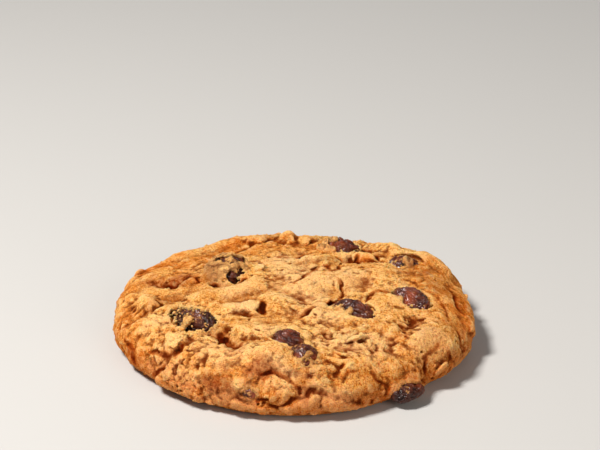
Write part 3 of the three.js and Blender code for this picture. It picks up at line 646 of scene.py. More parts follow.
SHOW = {"raisin_right": -0.25, "raisin_middle_bent": -0.15, "raisin_front": -0.45, "raisin_back": 0.1, "raisin_left": -0.1,
        "raisin_upper_left": -0.3}
film_noise = grid_noise(1.0, 81) * 0.5 + grid_noise(0.5, 82) * 0.25
film_folds = np.abs(grid_noise(0.85, 83))
film_mark = np.zeros(D.shape, f32)
for name in RAISINS:
    c, L, T = raisin_middle(name), RAISINS[name][0], RAISINS[name][2]
    out = form_normal(c)
    s, x, y, z = window(c - L - 2.5, c + L + 2.5)
    e = raisin_field(name, x, y, z).astype(f32)
    before = D[s].copy()
    outward = (x - c[0]) * out[0] + (y - c[1]) * out[1] + (z - c[2]) * out[2]
    # the pocket, cut only as deep as can be seen
    D[s] = np.maximum(before, np.minimum(-(e + 0.25), before + 2.2))
    covered, spots = FILMS.get(name, (False, []))
    show = SHOW.get(name, 0.25)
    mask = np.full(e.shape, -1.0 if covered else 1.0, f32)   # < 0 where dough skin lies over the raisin
    for reach, point in spots:
        q = np.sqrt((x - point[0]) ** 2 + (y - point[1]) ** 2 + (0.6 * (z - point[2])) ** 2) / reach
        v = np.clip((1 - q) * 2.2, -1, 1)
        mask = np.maximum(mask, v) if covered else np.minimum(mask, -v)
    mask = mask + film_noise[s] * (0.95 if covered else 0.6)
    # the dough climbs a little way up the raisin, by more here and less there
    if out[2] > 0.5:
        mask = np.minimum(mask, (outward - T * (show - 0.15 + 0.32 * film_noise[s])) * 0.9 / T)
    # dough that lies on top of the raisin goes where the raisin shows
    clear = np.minimum(np.minimum((1.6 if show > 0.2 else 0.5) - e, mask * 0.8), (outward - show * T) * 0.8)
    D[s] = smax(D[s], clear, 0.2)
    thick = 0.26 + 0.16 * film_noise[s] + 0.30 * np.clip(film_folds[s] - 0.35, -0.35, 0.8)
    skin = smax(np.abs(e - 0.05) - np.maximum(thick, 0.14), mask * 0.8, 0.2)
    skin = np.maximum(skin, -(outward + 0.1 * T))
    D[s] = smin(D[s], skin, 0.9 if covered else 0.4)
    mark = np.clip(1 - np.maximum(e - 0.3, 0) / 0.9, 0, 1) * np.clip(1 - mask * 2, 0, 1) * np.clip((outward - 0.1 * T) / (0.4 * T), 0, 1)
    film_mark[s] = np.maximum(film_mark[s], mark)
del film_folds

for width, depth, pts in GAPS:
    carve_along(width, depth, pts, 0.3)
del warp

# ------------------------------------------------------------------ fine crumb
p, n = crust_points(6500, 91)
g = np.random.default_rng(92)
ro = sample(rough, p)
t, b, _ = frame_of(n, g.random(len(p)) * 6.28)
for i in range(len(p)):
    if ro[i] < g.random() * 0.7:
        continue
    r = g.uniform(0.22, 0.42)
    splat(p[i] - n[i] * g.uniform(0.55, 0.95) * r, (t[i], b[i], n[i]), (r * g.uniform(1.0, 1.5), r, r * 0.85), 0.1)
# broken-out pits, each a few small bites in a row
p, n = crust_points(110, 95)
g = np.random.default_rng(96)
ro = sample(rough, p)
t, b, _ = frame_of(n, g.random(len(p)) * 6.28)
for i in range(len(p)):
    if ro[i] < g.random() * 0.8:
        continue
    for k in range(g.integers(1, 4)):
        r = g.uniform(0.22, 0.42)
        at = p[i] + t[i] * (k * 0.55 + g.normal(0, 0.1)) + b[i] * g.normal(0, 0.3) + n[i] * r * 0.25
        splat(at, (t[i], b[i], n[i]), (r * g.uniform(1.2, 2.0), r, r * 1.3), 0.15, carve=True)
D -= ((grid_noise(0.42, 97) * 0.055 + grid_noise(0.8, 98) * 0.05) * (0.5 + 0.5 * rough) * keep_z).astype(f32)

# the underside: flat, with shallow open pores and a few broad shallow dents
g = np.random.default_rng(101)
for i in range(420):
    a, r = g.random() * 6.28, MEAN_RADIUS * 0.93 * math.sqrt(g.random())
    w = g.uniform(0.4, 1.3)
    splat(np.array([r * math.cos(a), r * math.sin(a), -0.1]), np.eye(3), (w * g.uniform(0.8, 1.6), w, g.uniform(0.3, 0.7)), 0.15, carve=True)
D = np.maximum(D, 0.02 - Z).astype(f32)
D = np.clip(D, -LIMIT, LIMIT)


# ------------------------------------------------------------------ mesh
def blur(a, sigma_vox):
    """Gaussian blur by weights along each axis."""
    r = int(math.ceil(sigma_vox * 2.5))
    w = np.exp(-0.5 * (np.arange(-r, r + 1) / sigma_vox) ** 2).astype(f32)
    w /= w.sum()
    for ax in range(3):
        pad = [(r, r) if i == ax else (0, 0) for i in range(3)]
        q = np.pad(a, pad, mode="edge")
        out = np.zeros_like(a)
        for k in range(2 * r + 1):
            sl = [slice(None)] * 3
            sl[ax] = slice(k, k + a.shape[ax])
            out += w[k] * q[tuple(sl)]
        a = out
    return a


def largest_part(co, tris):
    """Keeps the biggest joined part of a triangle mesh."""
    lab = np.arange(len(co))
    e = np.concatenate([tris[:, [0, 1]], tris[:, [1, 2]], tris[:, [2, 0]]])
    while True:
        m = np.minimum(lab[e[:, 0]], lab[e[:, 1]])
        new = lab.copy()
        np.minimum.at(new, e[:, 0], m)
        np.minimum.at(new, e[:, 1], m)
        np.minimum.at(new, lab[e[:, 0]], m)
        np.minimum.at(new, lab[e[:, 1]], m)
        new = new[new]
        if (new == lab).all():
            break
        lab = new
    main = np.bincount(lab).argmax()
    sel = lab == main
    index = np.cumsum(sel) - 1
    return co[sel], index[tris[sel[tris[:, 0]]]]


def make_object(name, co, faces, smooth=True):
    me = bpy.data.meshes.new(name)
    me.vertices.add(len(co))
    me.vertices.foreach_set("co", np.asarray(co, f32).ravel())
    faces = np.asarray(faces, np.int32)
    k = faces.shape[1]
    me.loops.add(faces.size)
    me.loops.foreach_set("vertex_index", faces.ravel())
    me.polygons.add(len(faces))
    me.polygons.foreach_set("loop_start", np.arange(len(faces), dtype=np.int32) * k)
    me.polygons.foreach_set("loop_total", np.full(len(faces), k, np.int32))
    me.polygons.foreach_set("use_smooth", np.full(len(faces), smooth))
    me.update(calc_edges=True)
    me.validate()
    ob = bpy.data.objects.new(name, me)
    bpy.context.scene.collection.objects.link(ob)
    return ob


def attribute(ob, name, values):
    at = ob.data.attributes.new(name, "FLOAT", "POINT")
    at.data.foreach_set("value", np.asarray(values, f32))


def coords(ob):
    co = np.zeros(len(ob.data.vertices) * 3, f32)
    ob.data.vertices.foreach_get("co", co)
    return co.reshape(-1, 3).astype(float)


grid = openvdb.FloatGrid()
grid.background = LIMIT
grid.copyFromArray(np.ascontiguousarray(D))
pts, tris, quads = grid.convertToPolygons(isovalue=0.0, adaptivity=0.0)
faces = np.concatenate([np.asarray(tris).reshape(-1, 3), np.asarray(quads)[:, [0, 1, 2]], np.asarray(quads)[:, [0, 2, 3]]]).astype(int)
co = np.asarray(pts, float) * VOXEL + LO
co, faces = largest_part(co, faces)
# outward faces
v = co[faces]
if np.einsum("ij,ij->i", v[:, 0], np.cross(v[:, 1], v[:, 2])).sum() < 0:
    faces = faces[:, ::-1]
print("dough faces before reduction", len(faces))
raw = make_object("raw_dough", co * MM, faces)
mod = raw.modifiers.new("reduce", "DECIMATE")
mod.ratio = min(1.0, TARGET_FACES / len(faces))
dg = bpy.context.evaluated_depsgraph_get()
dough_mesh = bpy.data.meshes.new_from_object(raw.evaluated_get(dg))
bpy.data.objects.remove(raw)
dough = bpy.data.objects.new("baked_dough", dough_mesh)
bpy.context.scene.collection.objects.link(dough)
dough.data.polygons.foreach_set("use_smooth", np.full(len(dough.data.polygons), True))
print("dough faces", len(dough.data.polygons))

P = coords(dough) / MM
Dc = np.clip(D, -2.0, 2.0)
b1 = blur(Dc, 2.2)            # about 0.55 mm
half_grid = Dc[::2, ::2, ::2]
b2 = blur(half_grid, 2.6)     # about 1.3 mm
b3 = blur(half_grid, 6.0)     # about 3 mm


def sample_half(field, p):
    t = np.clip((p - LO) / (VOXEL * 2), 0, np.array(field.shape) - 1.001)
    i = np.floor(t).astype(int)
    f = t - i
    out = 0
    for a in (0, 1):
        for b in (0, 1):
            for c in (0, 1):
                w = (f[:, 0] if a else 1 - f[:, 0]) * (f[:, 1] if b else 1 - f[:, 1]) * (f[:, 2] if c else 1 - f[:, 2])
                out = out + w * field[i[:, 0] + a, i[:, 1] + b, i[:, 2] + c]
    return out


hollow_fine = -sample(b1, P)                # > 0 in small hollows
hollow_mid = -sample_half(b2, P)
hollow_wide = -sample_half(b3, P)
part = np.hypot(P[:, 0], P[:, 1]) / outline(np.arctan2(P[:, 1], P[:, 0]))
edge = smoothstep(0.66, 0.98, part + 0.05 * point_noise(P, 3.5, 112)) * smoothstep(15.0, 9.5, P[:, 2])
wall = smoothstep(0.80, 0.99, part) * smoothstep(9.5, 3.5, P[:, 2] + 0.8 * point_noise(P, 3.0, 113))
under = smoothstep(0.9, 0.05, P[:, 2])
# the hollow measures below drive painted shade in hollows and painted light on peaks in the dough colour
CRUST = {
    "hollow_fine": np.clip(0.5 + hollow_fine * 2.2, 0, 1),
    "hollow_mid": np.clip(0.5 + hollow_mid * 1.1, 0, 1),
    "hollow_wide": np.clip(0.5 + hollow_wide * 0.7, 0, 1),
    "edge": edge, "wall": wall, "under": under, "film": sample(film_mark, P),
}
tint = {k: np.zeros(len(P)) for k in ("pale", "brown_and_shade", "red", "orange", "dark", "crack", "grey")}
wob = point_noise(P, 1.4, 111) * 0.22
# the dark tint paints shade into the deep gaps; the crack tint darkens the narrow creases, partly as painted shade
for kind, reach, amount, pts in TINTS + [("dark", w * 1.05, 0.9, q) for w, _, q in GAPS] + [("crack", w, 0.65, q) for w, _, q in CREASES if w < 1.0]:
    pts = np.asarray(pts, float)
    near = np.where((P > pts.min(0) - reach - 3).all(1) & (P < pts.max(0) + reach + 3).all(1))[0]
    if len(near) == 0:
        continue
    q, _ = along(pts, P[near, 0], P[near, 1], P[near, 2], 0.3)
    q = np.clip(q / reach + wob[near], 0, 1)
    tint[kind][near] = np.maximum(tint[kind][near], amount * (1 - q * q) ** 1.5)
CRUST.update(tint)
for k, v in CRUST.items():
    attribute(dough, k, v)
tree = KDTree(len(P))
for i, q in enumerate(P):
    tree.insert(q, i)
tree.balance()


def like_the_crust(ob, points, raised):
    """Gives crumbs and flakes the crust's colouring, painted shade of its hollows included, taken from the crust beside
    each point; raised pieces are given less of that painted shade and more painted light.
    """
    near = np.array([tree.find(q)[1] for q in points])
    for k, v in CRUST.items():
        w = v[near]
        if k.startswith("hollow"):
            w = np.clip(w - raised * (0.25 if k == "hollow_fine" else 0.1), 0, 1)
        attribute(ob, k, w)


# ------------------------------------------------------------------ materials
def new_material(name):
    m = bpy.data.materials.new(name)
    m.use_nodes = True
    nt = m.node_tree
    return m, nt, nt.nodes["Principled BSDF"]


class Nodes:
    def __init__(self, nt):
        self.nt = nt

    def add(self, kind, **sets):
        n = self.nt.nodes.new(kind)
        for k, v in sets.items():
            if k in n.inputs:
                n.inputs[k].default_value = v
            else:
                setattr(n, k, v)
        return n

    def link(self, a, b):
        self.nt.links.new(a, b)

    def attr(self, name):
        n = self.add("ShaderNodeAttribute")
        n.attribute_name = name
        return n.outputs["Fac"]

    def math(self, op, a, b=None, clamp=False):
        n = self.add("ShaderNodeMath")
        n.operation = op
        n.use_clamp = clamp
        for i, v in enumerate((a, b)):
            if v is None:
                continue
            if isinstance(v, (int, float)):
                n.inputs[i].default_value = v
            else:
                self.link(v, n.inputs[i])
        return n.outputs[0]

    def ramp(self, fac, stops):
        n = self.add("ShaderNodeValToRGB")
        cr = n.color_ramp
        while len(cr.elements) < len(stops):
            cr.elements.new(0.5)
        for e, (p, c) in zip(cr.elements, stops):
            e.position = p
            e.color = (*c, 1) if not isinstance(c, (int, float)) else (c, c, c, 1)
        self.link(fac, n.inputs[0])
        return n.outputs[0]

    def mix(self, fac, a, b, mode="MIX"):
        n = self.add("ShaderNodeMix")
        n.data_type = "RGBA"
        n.blend_type = mode
        for sock, v in ((n.inputs[0], fac), (n.inputs[6], a), (n.inputs[7], b)):
            if isinstance(v, (int, float)):
                sock.default_value = v
            elif isinstance(v, tuple):
                sock.default_value = (*v, 1)
            else:
                self.link(v, sock)
        return n.outputs[2]

    def noise(self, coord, scale, detail=2.0, rough=0.5, distortion=0.0):
        n = self.add("ShaderNodeTexNoise")
        n.inputs["Scale"].default_value = scale
        n.inputs["Detail"].default_value = detail
        n.inputs["Roughness"].default_value = rough
        n.inputs["Distortion"].default_value = distortion
        self.link(coord, n.inputs["Vector"])
        return n.outputs["Fac"]

    def bump(self, height, strength, distance, normal=None):
        n = self.add("ShaderNodeBump")
        n.inputs["Strength"].default_value = strength
        n.inputs["Distance"].default_value = distance
        self.link(height, n.inputs["Height"])
        if normal is not None:
            self.link(normal, n.inputs["Normal"])
        return n.outputs["Normal"]


def srgb(r, g, b):
    f = lambda c: ((c / 255 + 0.055) / 1.055) ** 2.4 if c > 10 else c / 255 / 12.92
    return f(r), f(g), f(b)


def dough_material(name, loose=False):
    m, nt, bsdf = new_material(name)
    k = Nodes(nt)
    tc = k.add("ShaderNodeTexCoord").outputs["Object"]
    # blotchy bake, mottled crumb, fine speckle
    blotch = k.noise(tc, 130, 3, 0.55)
    mottle = k.noise(tc, 620, 3, 0.6)
    speck = k.noise(tc, 2400, 2, 0.6)
    tone = k.math("ADD", k.math("MULTIPLY", blotch, 0.46), k.math("ADD", k.math("MULTIPLY", mottle, 0.38), k.math("MULTIPLY", speck, 0.26)))
    base = k.ramp(tone, [(0.36, srgb(204, 126, 51)), (0.50, srgb(226, 154, 73)), (0.62, srgb(242, 184, 108)), (0.74, srgb(252, 210, 144))])
    base = k.mix(k.attr("pale"), base, srgb(252, 203, 140))
    # sandy grain: dark between the grains, pale on them; the same noise lifts the grain bump, so this is the crumb's
    # speckle laid as painted shade between the grains and painted light on their tops
    grain = k.noise(tc, 2700, 2, 0.7)
    base = k.mix(k.ramp(grain, [(0.34, 0.95), (0.50, 0.0)]), base, srgb(178, 80, 6))
    base = k.mix(k.ramp(grain, [(0.53, 0.0), (0.70, 0.78)]), base, srgb(255, 214, 140))
    if loose:
        shade = k.attr("tone")
        base = k.mix(k.ramp(shade, [(0.0, 0.45), (0.4, 0.0)]), base, srgb(176, 80, 18))
        base = k.mix(k.ramp(shade, [(0.55, 0.0), (1.0, 0.35)]), base, srgb(252, 198, 132))
    # rim and far side browner, the wall below it browner still
    base = k.mix(k.math("MULTIPLY", k.attr("edge"), 0.75), base, (0.88, 0.62, 0.36), "MULTIPLY")
    base = k.mix(k.attr("orange"), base, (0.88, 0.60, 0.32), "MULTIPLY")
    base = k.mix(k.math("MULTIPLY", k.attr("pale"), 0.45), base, srgb(250, 200, 138))
    # hollows go darker, peaks paler: painted shade in the hollows and painted light on the peaks
    hw = k.attr("hollow_wide")
    base = k.mix(k.ramp(hw, [(0.50, 0.0), (0.88, 0.6)]), base, srgb(182, 92, 28))
    hm = k.attr("hollow_mid")
    base = k.mix(k.ramp(hm, [(0.47, 0.0), (0.80, 0.7)]), base, srgb(146, 62, 12))
    hf = k.attr("hollow_fine")
    base = k.mix(k.ramp(hf, [(0.53, 0.0), (0.68, 0.5), (0.88, 0.9)]), base, srgb(100, 34, 6))
    base = k.mix(k.ramp(hf, [(0.22, 0.45), (0.45, 0.0)]), base, srgb(255, 208, 138))
    base = k.mix(k.math("MULTIPLY", k.attr("wall"), 0.62), base, (0.76, 0.46, 0.36), "MULTIPLY")
    patchy = k.ramp(k.noise(tc, 800, 3, 0.6), [(0.38, 0.6), (0.55, 1.0)])
    # browning tints: browner bake in places, painted shade in hollows, crevices and undercuts elsewhere
    base = k.mix(k.math("MULTIPLY", k.attr("brown_and_shade"), patchy), base, (0.50, 0.30, 0.24), "MULTIPLY")
    # narrow creases darker: painted shade in them, along with the crumb's own darker colour there
    base = k.mix(k.ramp(k.attr("crack"), [(0.0, 0.0), (0.4, 0.8)]), base, (0.76, 0.44, 0.24), "MULTIPLY")
    base = k.mix(k.ramp(k.attr("crack"), [(0.25, 0.0), (0.65, 0.55)]), base, srgb(112, 40, 12))
    base = k.mix(k.math("MULTIPLY", k.attr("grey"), patchy), base, (0.52, 0.50, 0.52), "MULTIPLY")
    base = k.mix(k.math("MULTIPLY", k.attr("red"), patchy), base, (0.46, 0.22, 0.18), "MULTIPLY")
    # painted shade: the deep gaps painted nearly black
    gap_shade = k.attr("dark")
    base = k.mix(k.ramp(gap_shade, [(0.0, 0.0), (0.45, 1.0)]), base, (0.72, 0.34, 0.16), "MULTIPLY")
    base = k.mix(k.ramp(gap_shade, [(0.25, 0.0), (0.85, 1.0)]), base, srgb(62, 18, 5))
    # thin dough over a raisin looks greyer, with the raisin's dark showing through
    film = k.math("MULTIPLY", k.attr("film"), k.ramp(k.noise(tc, 900, 3, 0.6), [(0.35, 0.2), (0.65, 1.0)]))
    base = k.mix(k.math("MULTIPLY", film, 0.75), base, srgb(158, 104, 58))
    base = k.mix(k.math("MULTIPLY", k.attr("film"), k.ramp(k.noise(tc, 620, 4, 0.7), [(0.50, 0.0), (0.60, 0.85)])), base, srgb(98, 48, 28))
    # small dark pores: painted shade of small pits that the mesh doesn't have
    pores = k.ramp(k.noise(tc, 1300, 2, 0.65), [(0.25, 1.0), (0.31, 0.0)])
    base = k.mix(k.math("MULTIPLY", pores, 0.5), base, srgb(112, 44, 8))
    # underside: even, browner bake
    under = k.ramp(k.noise(tc, 260, 4, 0.6), [(0.35, srgb(150, 82, 34)), (0.65, srgb(186, 112, 52))])
    base = k.mix(k.attr("under"), base, under)
    nt.links.new(base, bsdf.inputs["Base Color"])
    rough_v = k.ramp(k.noise(tc, 1200, 2, 0.5), [(0.3, 0.62), (0.7, 0.86)])
    nt.links.new(rough_v, bsdf.inputs["Roughness"])
    bsdf.inputs["Specular IOR Level"].default_value = 0.0
    n1 = k.bump(k.noise(tc, 950, 4, 0.75), 1.0, 0.0006)
    n2 = k.bump(grain, 1.0, 0.00046, n1)
    nt.links.new(n2, bsdf.inputs["Normal"])
    bsdf.inputs["Subsurface Weight"].default_value = 0.25
    bsdf.inputs["Subsurface Radius"].default_value = (1.0, 0.35, 0.12)
    bsdf.inputs["Subsurface Scale"].default_value = 0.0015
    return m


def raisin_material(name, seed, dark, warm, dust_share, gloss):
    m, nt, bsdf = new_material(name)
    k = Nodes(nt)
    tc = k.add("ShaderNodeTexCoord").outputs["Object"]
    mp = k.add("ShaderNodeMapping")
    mp.inputs["Location"].default_value = (seed * 0.013, seed * 0.007, 0)
    k.link(tc, mp.inputs["Vector"])
    v = mp.outputs["Vector"]
    tones = [srgb(34, 9, 4), srgb(68, 24, 13), srgb(112, 50, 28)]
    tones = [tuple(c * dark for c in q) for q in tones]
    skin = k.ramp(k.noise(v, 420, 4, 0.6), [(0.30, tones[0]), (0.50, tones[1]), (0.68, tones[2])])
    skin = k.mix(k.ramp(k.noise(v, 230, 2, 0.5), [(0.46, 0.0), (0.62, warm)]), skin, srgb(176, 74, 22))
    ridge = k.attr("ridge")
    # paler on the wrinkle tops as painted light, nearly black in the folds as painted shade
    skin = k.mix(k.ramp(ridge, [(0.66, 0.0), (1.0, 0.35)]), skin, tuple(c * dark for c in srgb(142, 72, 44)))
    skin = k.mix(k.ramp(ridge, [(0.0, 0.9), (0.45, 0.0)]), skin, srgb(16, 5, 2))
    # fine dough and crumb clinging to it
    low = 0.66 - 0.16 * dust_share
    dust = k.ramp(k.noise(v, 480, 5, 0.75), [(low, 0.0), (low + 0.05, 1.0)])
    skin = k.mix(k.math("MULTIPLY", dust, 0.35 + 0.5 * dust_share), skin, srgb(204, 144, 80))
    nt.links.new(skin, bsdf.inputs["Base Color"])
    r = k.ramp(k.noise(v, 900, 3, 0.6), [(0.35, 0.18 + 0.2 * (1 - gloss)), (0.65, 0.36 + 0.25 * (1 - gloss))])
    r = k.mix(k.math("MULTIPLY", dust, 0.7), r, (0.8, 0.8, 0.8))
    nt.links.new(r, bsdf.inputs["Roughness"])
    bsdf.inputs["Specular IOR Level"].default_value = 0.22
    bsdf.inputs["Coat Weight"].default_value = 0.42 * gloss
    bsdf.inputs["Coat Roughness"].default_value = 0.1
    n1 = k.bump(k.noise(v, 1500, 3, 0.65), 0.8, 0.0004)
    nt.links.new(n1, bsdf.inputs["Normal"])
    return m


dough.data.materials.clear()
dough.data.materials.append(dough_material("baked dough"))
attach(dough, "root")
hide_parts("cookie_dough")


# ------------------------------------------------------------------ raisins
def make_raisin(index, name):
    L, W, T, heading, slope, arch, phase, taper = RAISINS[name]
    nu, nv = 132, 92
    a = np.linspace(0, 2 * np.pi, nu, endpoint=False)
    t = np.linspace(0, np.pi, nv)[1:-1]
    tt, aa = np.meshgrid(t, a, indexing="ij")
    x = -np.cos(tt)
    rr = np.sin(tt) ** 0.9
    unit = np.stack([x, rr * np.cos(aa), rr * np.sin(aa)], -1).reshape(-1, 3)
    unit = np.concatenate([[[-1, 0, 0]], unit, [[1, 0, 0]]])
    body = unit * np.array([L, W, T])
    n = unit / np.array([L, W, T])
    n /= np.linalg.norm(n, axis=1, keepdims=True)
    w = body * np.array([0.75, 1.0, 1.0])
    w = w + 1.1 * np.stack([point_noise(body, 2.4, 200 + index * 7 + i) for i in range(3)], 1)
    r1 = np.abs(point_noise(w, 1.25, 300 + index))
    r2 = np.abs(point_noise(w * 1.0, 0.62, 400 + index))
    big = point_noise(body, 3.6, 500 + index)
    fold = np.clip(r1 / 0.9, 0, 1) ** 0.75
    fine = np.clip(r2 / 0.9, 0, 1) ** 0.8
    scale = min(1.0, T / 2.6)
    r3 = np.abs(point_noise(w * 1.1, 0.36, 450 + index))
    finest = np.clip(r3 / 0.9, 0, 1)
    shift = (-0.58 * (1 - fold) - 0.26 * (1 - fine) - 0.10 * (1 - finest) + 0.34 * big) * scale
    body = body + n * shift[:, None]
    body[:, 1:] *= 1 + taper * unit[:, :1]
    body[:, 2] -= arch * (body[:, 0] / L) ** 2
    e = np.array(raisin_axes(heading, slope))
    body = body @ e
    c = raisin_middle(name)
    body = body + c
    m = nu
    faces = []
    j = np.arange(nu)
    jn = (j + 1) % nu
    rows = len(t)
    tri = [np.stack([np.zeros(nu, int), 1 + jn, 1 + j], 1)]
    for i in range(rows - 1):
        p0, p1, p2, p3 = 1 + i * m + j, 1 + i * m + jn, 1 + (i + 1) * m + jn, 1 + (i + 1) * m + j
        tri.append(np.stack([p0, p1, p2], 1))
        tri.append(np.stack([p0, p2, p3], 1))
    last = len(body) - 1
    tri.append(np.stack([1 + (rows - 1) * m + j, 1 + (rows - 1) * m + jn, np.full(nu, last)], 1))
    tri = np.concatenate(tri)
    v = body[tri] - c
    if np.einsum("ij,ij->i", v[:, 0], np.cross(v[:, 1], v[:, 2])).sum() < 0:
        tri = tri[:, ::-1]
    body[:, 2] = np.maximum(body[:, 2], 0.15)
    ob = make_object("raisin_skin_%02d" % (index + 1), body * MM, tri)
    attribute(ob, "ridge", np.clip(fold * 0.55 + fine * 0.3 + finest * 0.15, 0, 1))
    ob.data.materials.append(raisin_material("raisin skin %d" % (index + 1), index + 1, *LOOKS.get(name, (0.8, 0.3, 0.3, 0.8))))
    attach(ob, "root")
    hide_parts(name)
    return ob


# lightness of the skin, amber share, clinging crumb, gloss
LOOKS = {
    "raisin_upper_left": (0.42, 0.15, 0.4, 0.6), "raisin_left": (0.40, 0.2, 0.5, 0.5), "raisin_front": (1.05, 0.15, 0.1, 1.0),
    "raisin_front_tail": (0.75, 0.4, 0.6, 0.5), "raisin_middle_bent": (0.62, 0.2, 0.3, 1.0), "raisin_right": (0.85, 0.5, 0.15, 1.5),
    "raisin_upper_right": (0.5, 0.2, 0.5, 0.8), "raisin_back": (0.95, 0.45, 0.4, 0.8), "raisin_under_edge": (0.42, 0.2, 0.4, 0.5),
    "raisin_edge_small": (0.9, 0.5, 0.6, 0.5),
}
for i, name in enumerate(RAISINS):
    make_raisin(i, name)

# ------------------------------------------------------------------ oat flakes and loose crumbs
def ball(times):
    """A round mesh of triangles, 20 * 4 ** times of them."""
    f = (1 + 5 ** 0.5) / 2
    v = [(-1, f, 0), (1, f, 0), (-1, -f, 0), (1, -f, 0), (0, -1, f), (0, 1, f), (0, -1, -f), (0, 1, -f), (f, 0, -1), (f, 0, 1), (-f, 0, -1), (-f, 0, 1)]
    t = [(0, 11, 5), (0, 5, 1), (0, 1, 7), (0, 7, 10), (0, 10, 11), (1, 5, 9), (5, 11, 4), (11, 10, 2), (10, 7, 6), (7, 1, 8),
         (3, 9, 4), (3, 4, 2), (3, 2, 6), (3, 6, 8), (3, 8, 9), (4, 9, 5), (2, 4, 11), (6, 2, 10), (8, 6, 7), (9, 8, 1)]
    v = [np.array(q, float) / np.linalg.norm(q) for q in v]
    for _ in range(times):
        seen, out = {}, []

        def middle(a, b):
            key = (min(a, b), max(a, b))
            if key not in seen:
                m = v[a] + v[b]
                v.append(m / np.linalg.norm(m))
                seen[key] = len(v) - 1
            return seen[key]
        for a, b, c in t:
            ab, bc, ca = middle(a, b), middle(b, c), middle(c, a)
            out += [(a, ab, ca), (b, bc, ab), (c, ca, bc), (ab, bc, ca)]
        t = out
    return np.array(v), np.array(t)


WITH_RAISINS = D.copy()
for name in RAISINS:
    c, L = raisin_middle(name), RAISINS[name][0]
    s, x, y, z = window(c - L - 2.5, c + L + 2.5)
    WITH_RAISINS[s] = np.minimum(WITH_RAISINS[s], raisin_field(name, x, y, z).astype(f32) + 0.25)


def settle(p, field=D):
    """Moves points onto the finished crust; gives them back with their normals."""
    p = np.asarray(p, float)
    for _ in range(8):
        p = p - gradient(field, p, 0.8) * sample(field, p)[:, None] * 0.8
    return p, gradient(field, p, 1.2)


def oat_flakes():
    g = np.random.default_rng(121)
    unit, tris = ball(3)
    placed = [(q[1], q[0]) for q in FLAKES]
    extra, _ = crust_points(240, 122)
    placed += [(tuple(q), g.uniform(1.3, 2.3)) for q in extra[:FLAKE_COUNT]]
    at, n = settle([q[0] for q in placed])
    t, b, n = frame_of(n + g.normal(0, 0.12, n.shape), g.random(len(n)) * 6.28)
    n = n / np.linalg.norm(n, axis=1, keepdims=True)
    co, faces, tone = [], [], []
    for i, (_, L) in enumerate(placed):
        L = L if n[i][2] > 0.5 else 0.62 * L  # only small ones hold on the wall
        W, H = L * g.uniform(0.62, 0.85), g.uniform(0.30, 0.42)
        a = np.arctan2(unit[:, 1], unit[:, 0])
        ragged = 1 + 0.13 * np.sin(3 * a + g.random() * 6) + 0.09 * np.sin(5 * a + g.random() * 6) + 0.06 * np.sin(9 * a + g.random() * 6)
        x, y, z = unit[:, 0] * L * ragged, unit[:, 1] * W * ragged, np.sign(unit[:, 2]) * np.abs(unit[:, 2]) ** 0.6 * H
        bow = g.uniform(-0.05, 0.10)
        z = z - bow * x * x - 0.14 * np.exp(-(y / 0.16) ** 2) * (z > 0) * (np.abs(x) < L * 0.75) + 0.04 * np.sin(4.2 * x + 2.7 * y + g.random() * 6)
        z = z + 0.05 * np.sin(2.1 * x + g.random() * 6) * np.sin(2.6 * y + g.random() * 6)
        p = at[i] + x[:, None] * t[i] + y[:, None] * b[i] + (z - H * g.uniform(0.85, 1.35))[:, None] * n[i]
        faces.append(tris + len(unit) * i)
        co.append(p)
        tone.append(np.full(len(unit), g.uniform(0.25, 0.8)))
    co = np.concatenate(co)
    co[:, 2] = np.maximum(co[:, 2], 0.1)
    ob = make_object("oat_flakes", co * MM, np.concatenate(faces))
    attribute(ob, "tone", np.concatenate(tone))
    like_the_crust(ob, co, 0.5)
    ob.data.materials.append(dough_material("oat flake", loose=True))
    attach(ob, "root")


def loose_crumbs():
    g = np.random.default_rng(131)
    coarse, fine = ball(1), ball(0)
    p, n = crust_points(CRUMB_COUNT, 132, 0.8)
    keep = g.random(len(p)) < 0.35 + 0.65 * sample(rough, p)
    p, n = p[keep], n[keep]
    size = 0.13 + 0.19 * g.random(len(p)) ** 1.6
    near = []
    for reach, count, point in CRUMB_HEAPS:
        near.append(np.asarray(point) + g.normal(0, reach, (count, 3)) * (1, 1, 0.3) + (0, 0, 0.8))
    if near:
        q, m = settle(np.concatenate(near), WITH_RAISINS)
        p, n = np.concatenate([p, q]), np.concatenate([n, m])
        size = np.concatenate([size, g.uniform(0.2, 0.42, len(q))])
    good = (np.abs(sample(WITH_RAISINS, p)) < 0.3) & (p[:, 2] > 0.8)
    p, n, size = p[good], n[good], size[good]
    t, b, n = frame_of(n, g.random(len(n)) * 6.28)
    co, faces, tone, count = [], [], [], 0
    for i in range(len(p)):
        unit, tris = coarse if size[i] > 0.28 else fine
        r = size[i] * np.array([g.uniform(0.9, 1.5), g.uniform(0.7, 1.1), g.uniform(0.7, 1.05)])
        q = unit * r * (1 + g.normal(0, 0.16, (len(unit), 1)))
        co.append(p[i] + q[:, :1] * t[i] + q[:, 1:2] * b[i] + (q[:, 2:] + r[2] * g.uniform(-0.6, 0.15)) * n[i])
        faces.append(tris + count)
        count += len(unit)
        tone.append(np.full(len(unit), g.random()))
    co = np.concatenate(co)
    ob = make_object("loose_crumbs", co * MM, np.concatenate(faces))
    attribute(ob, "tone", np.concatenate(tone))
    like_the_crust(ob, co, 0.3)
    ob.data.materials.append(dough_material("crumb", loose=True))
    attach(ob, "root")
    print("loose crumbs", len(p), "faces", len(ob.data.polygons))


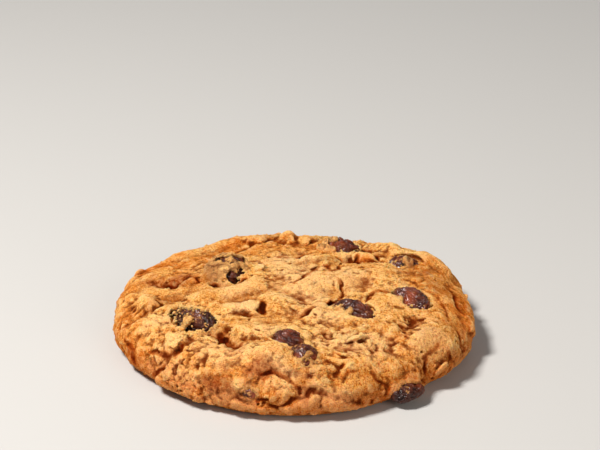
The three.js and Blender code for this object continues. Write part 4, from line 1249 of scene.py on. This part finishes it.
oat_flakes()
loose_crumbs()

# ------------------------------------------------------------------ stage
def stage():
    s = 1.5
    co = [(-s, -s, 0), (s, -s, 0), (s, s, 0), (-s, s, 0)]
    floor = make_object("floor", np.array(co), np.array([[0, 1, 2, 3]]), smooth=False)
    m, nt, bsdf = new_material("floor")
    bsdf.inputs["Base Color"].default_value = (0.52, 0.51, 0.495, 1)
    bsdf.inputs["Roughness"].default_value = 0.9
    floor.data.materials.append(m)


def area_light(name, at, size, power, colour=(1, 1, 1)):
    d = bpy.data.lights.new(name, "AREA")
    d.shape = "DISK"
    d.size = size
    d.energy = power
    d.color = colour
    o = bpy.data.objects.new(name, d)
    o.location = at
    o.rotation_euler = (Vector((0, 0, 0.01)) - Vector(at)).to_track_quat("-Z", "Y").to_euler()
    bpy.context.scene.collection.objects.link(o)


stage()
area_light("key", (-0.36, -0.16, 0.66), 0.20, 8.7, (1.0, 0.97, 0.93))
area_light("fill", (0.45, -0.70, 0.30), 0.6, 2.9, (1.0, 0.93, 0.84))
area_light("back", (0.10, 0.75, 0.45), 0.6, 0.5)
world = bpy.data.worlds.new("soft")
world.use_nodes = True
world.node_tree.nodes["Background"].inputs[0].default_value = (1, 1, 1, 1)
world.node_tree.nodes["Background"].inputs[1].default_value = 0.14
bpy.context.scene.world = world
bpy.context.scene.view_settings.view_transform = "Standard"

# camera at 25 degrees above the horizon, long lens
DISTANCE, ELEVATION = 0.560, math.radians(25)
cam = bpy.data.cameras.new("camera")
cam.lens = 138.38
cam.sensor_width = 36
cam.clip_start, cam.clip_end = 0.01, 10
cam_ob = bpy.data.objects.new("camera", cam)
cam_ob.location = (0, -DISTANCE * math.cos(ELEVATION), DISTANCE * math.sin(ELEVATION))
aim = Vector((0.00170, 0.01149, 0.02463))
cam_ob.rotation_euler = (aim - Vector(cam_ob.location)).to_track_quat("-Z", "Y").to_euler()
bpy.context.scene.collection.objects.link(cam_ob)
bpy.context.scene.camera = cam_ob

bpy.context.view_layer.update()
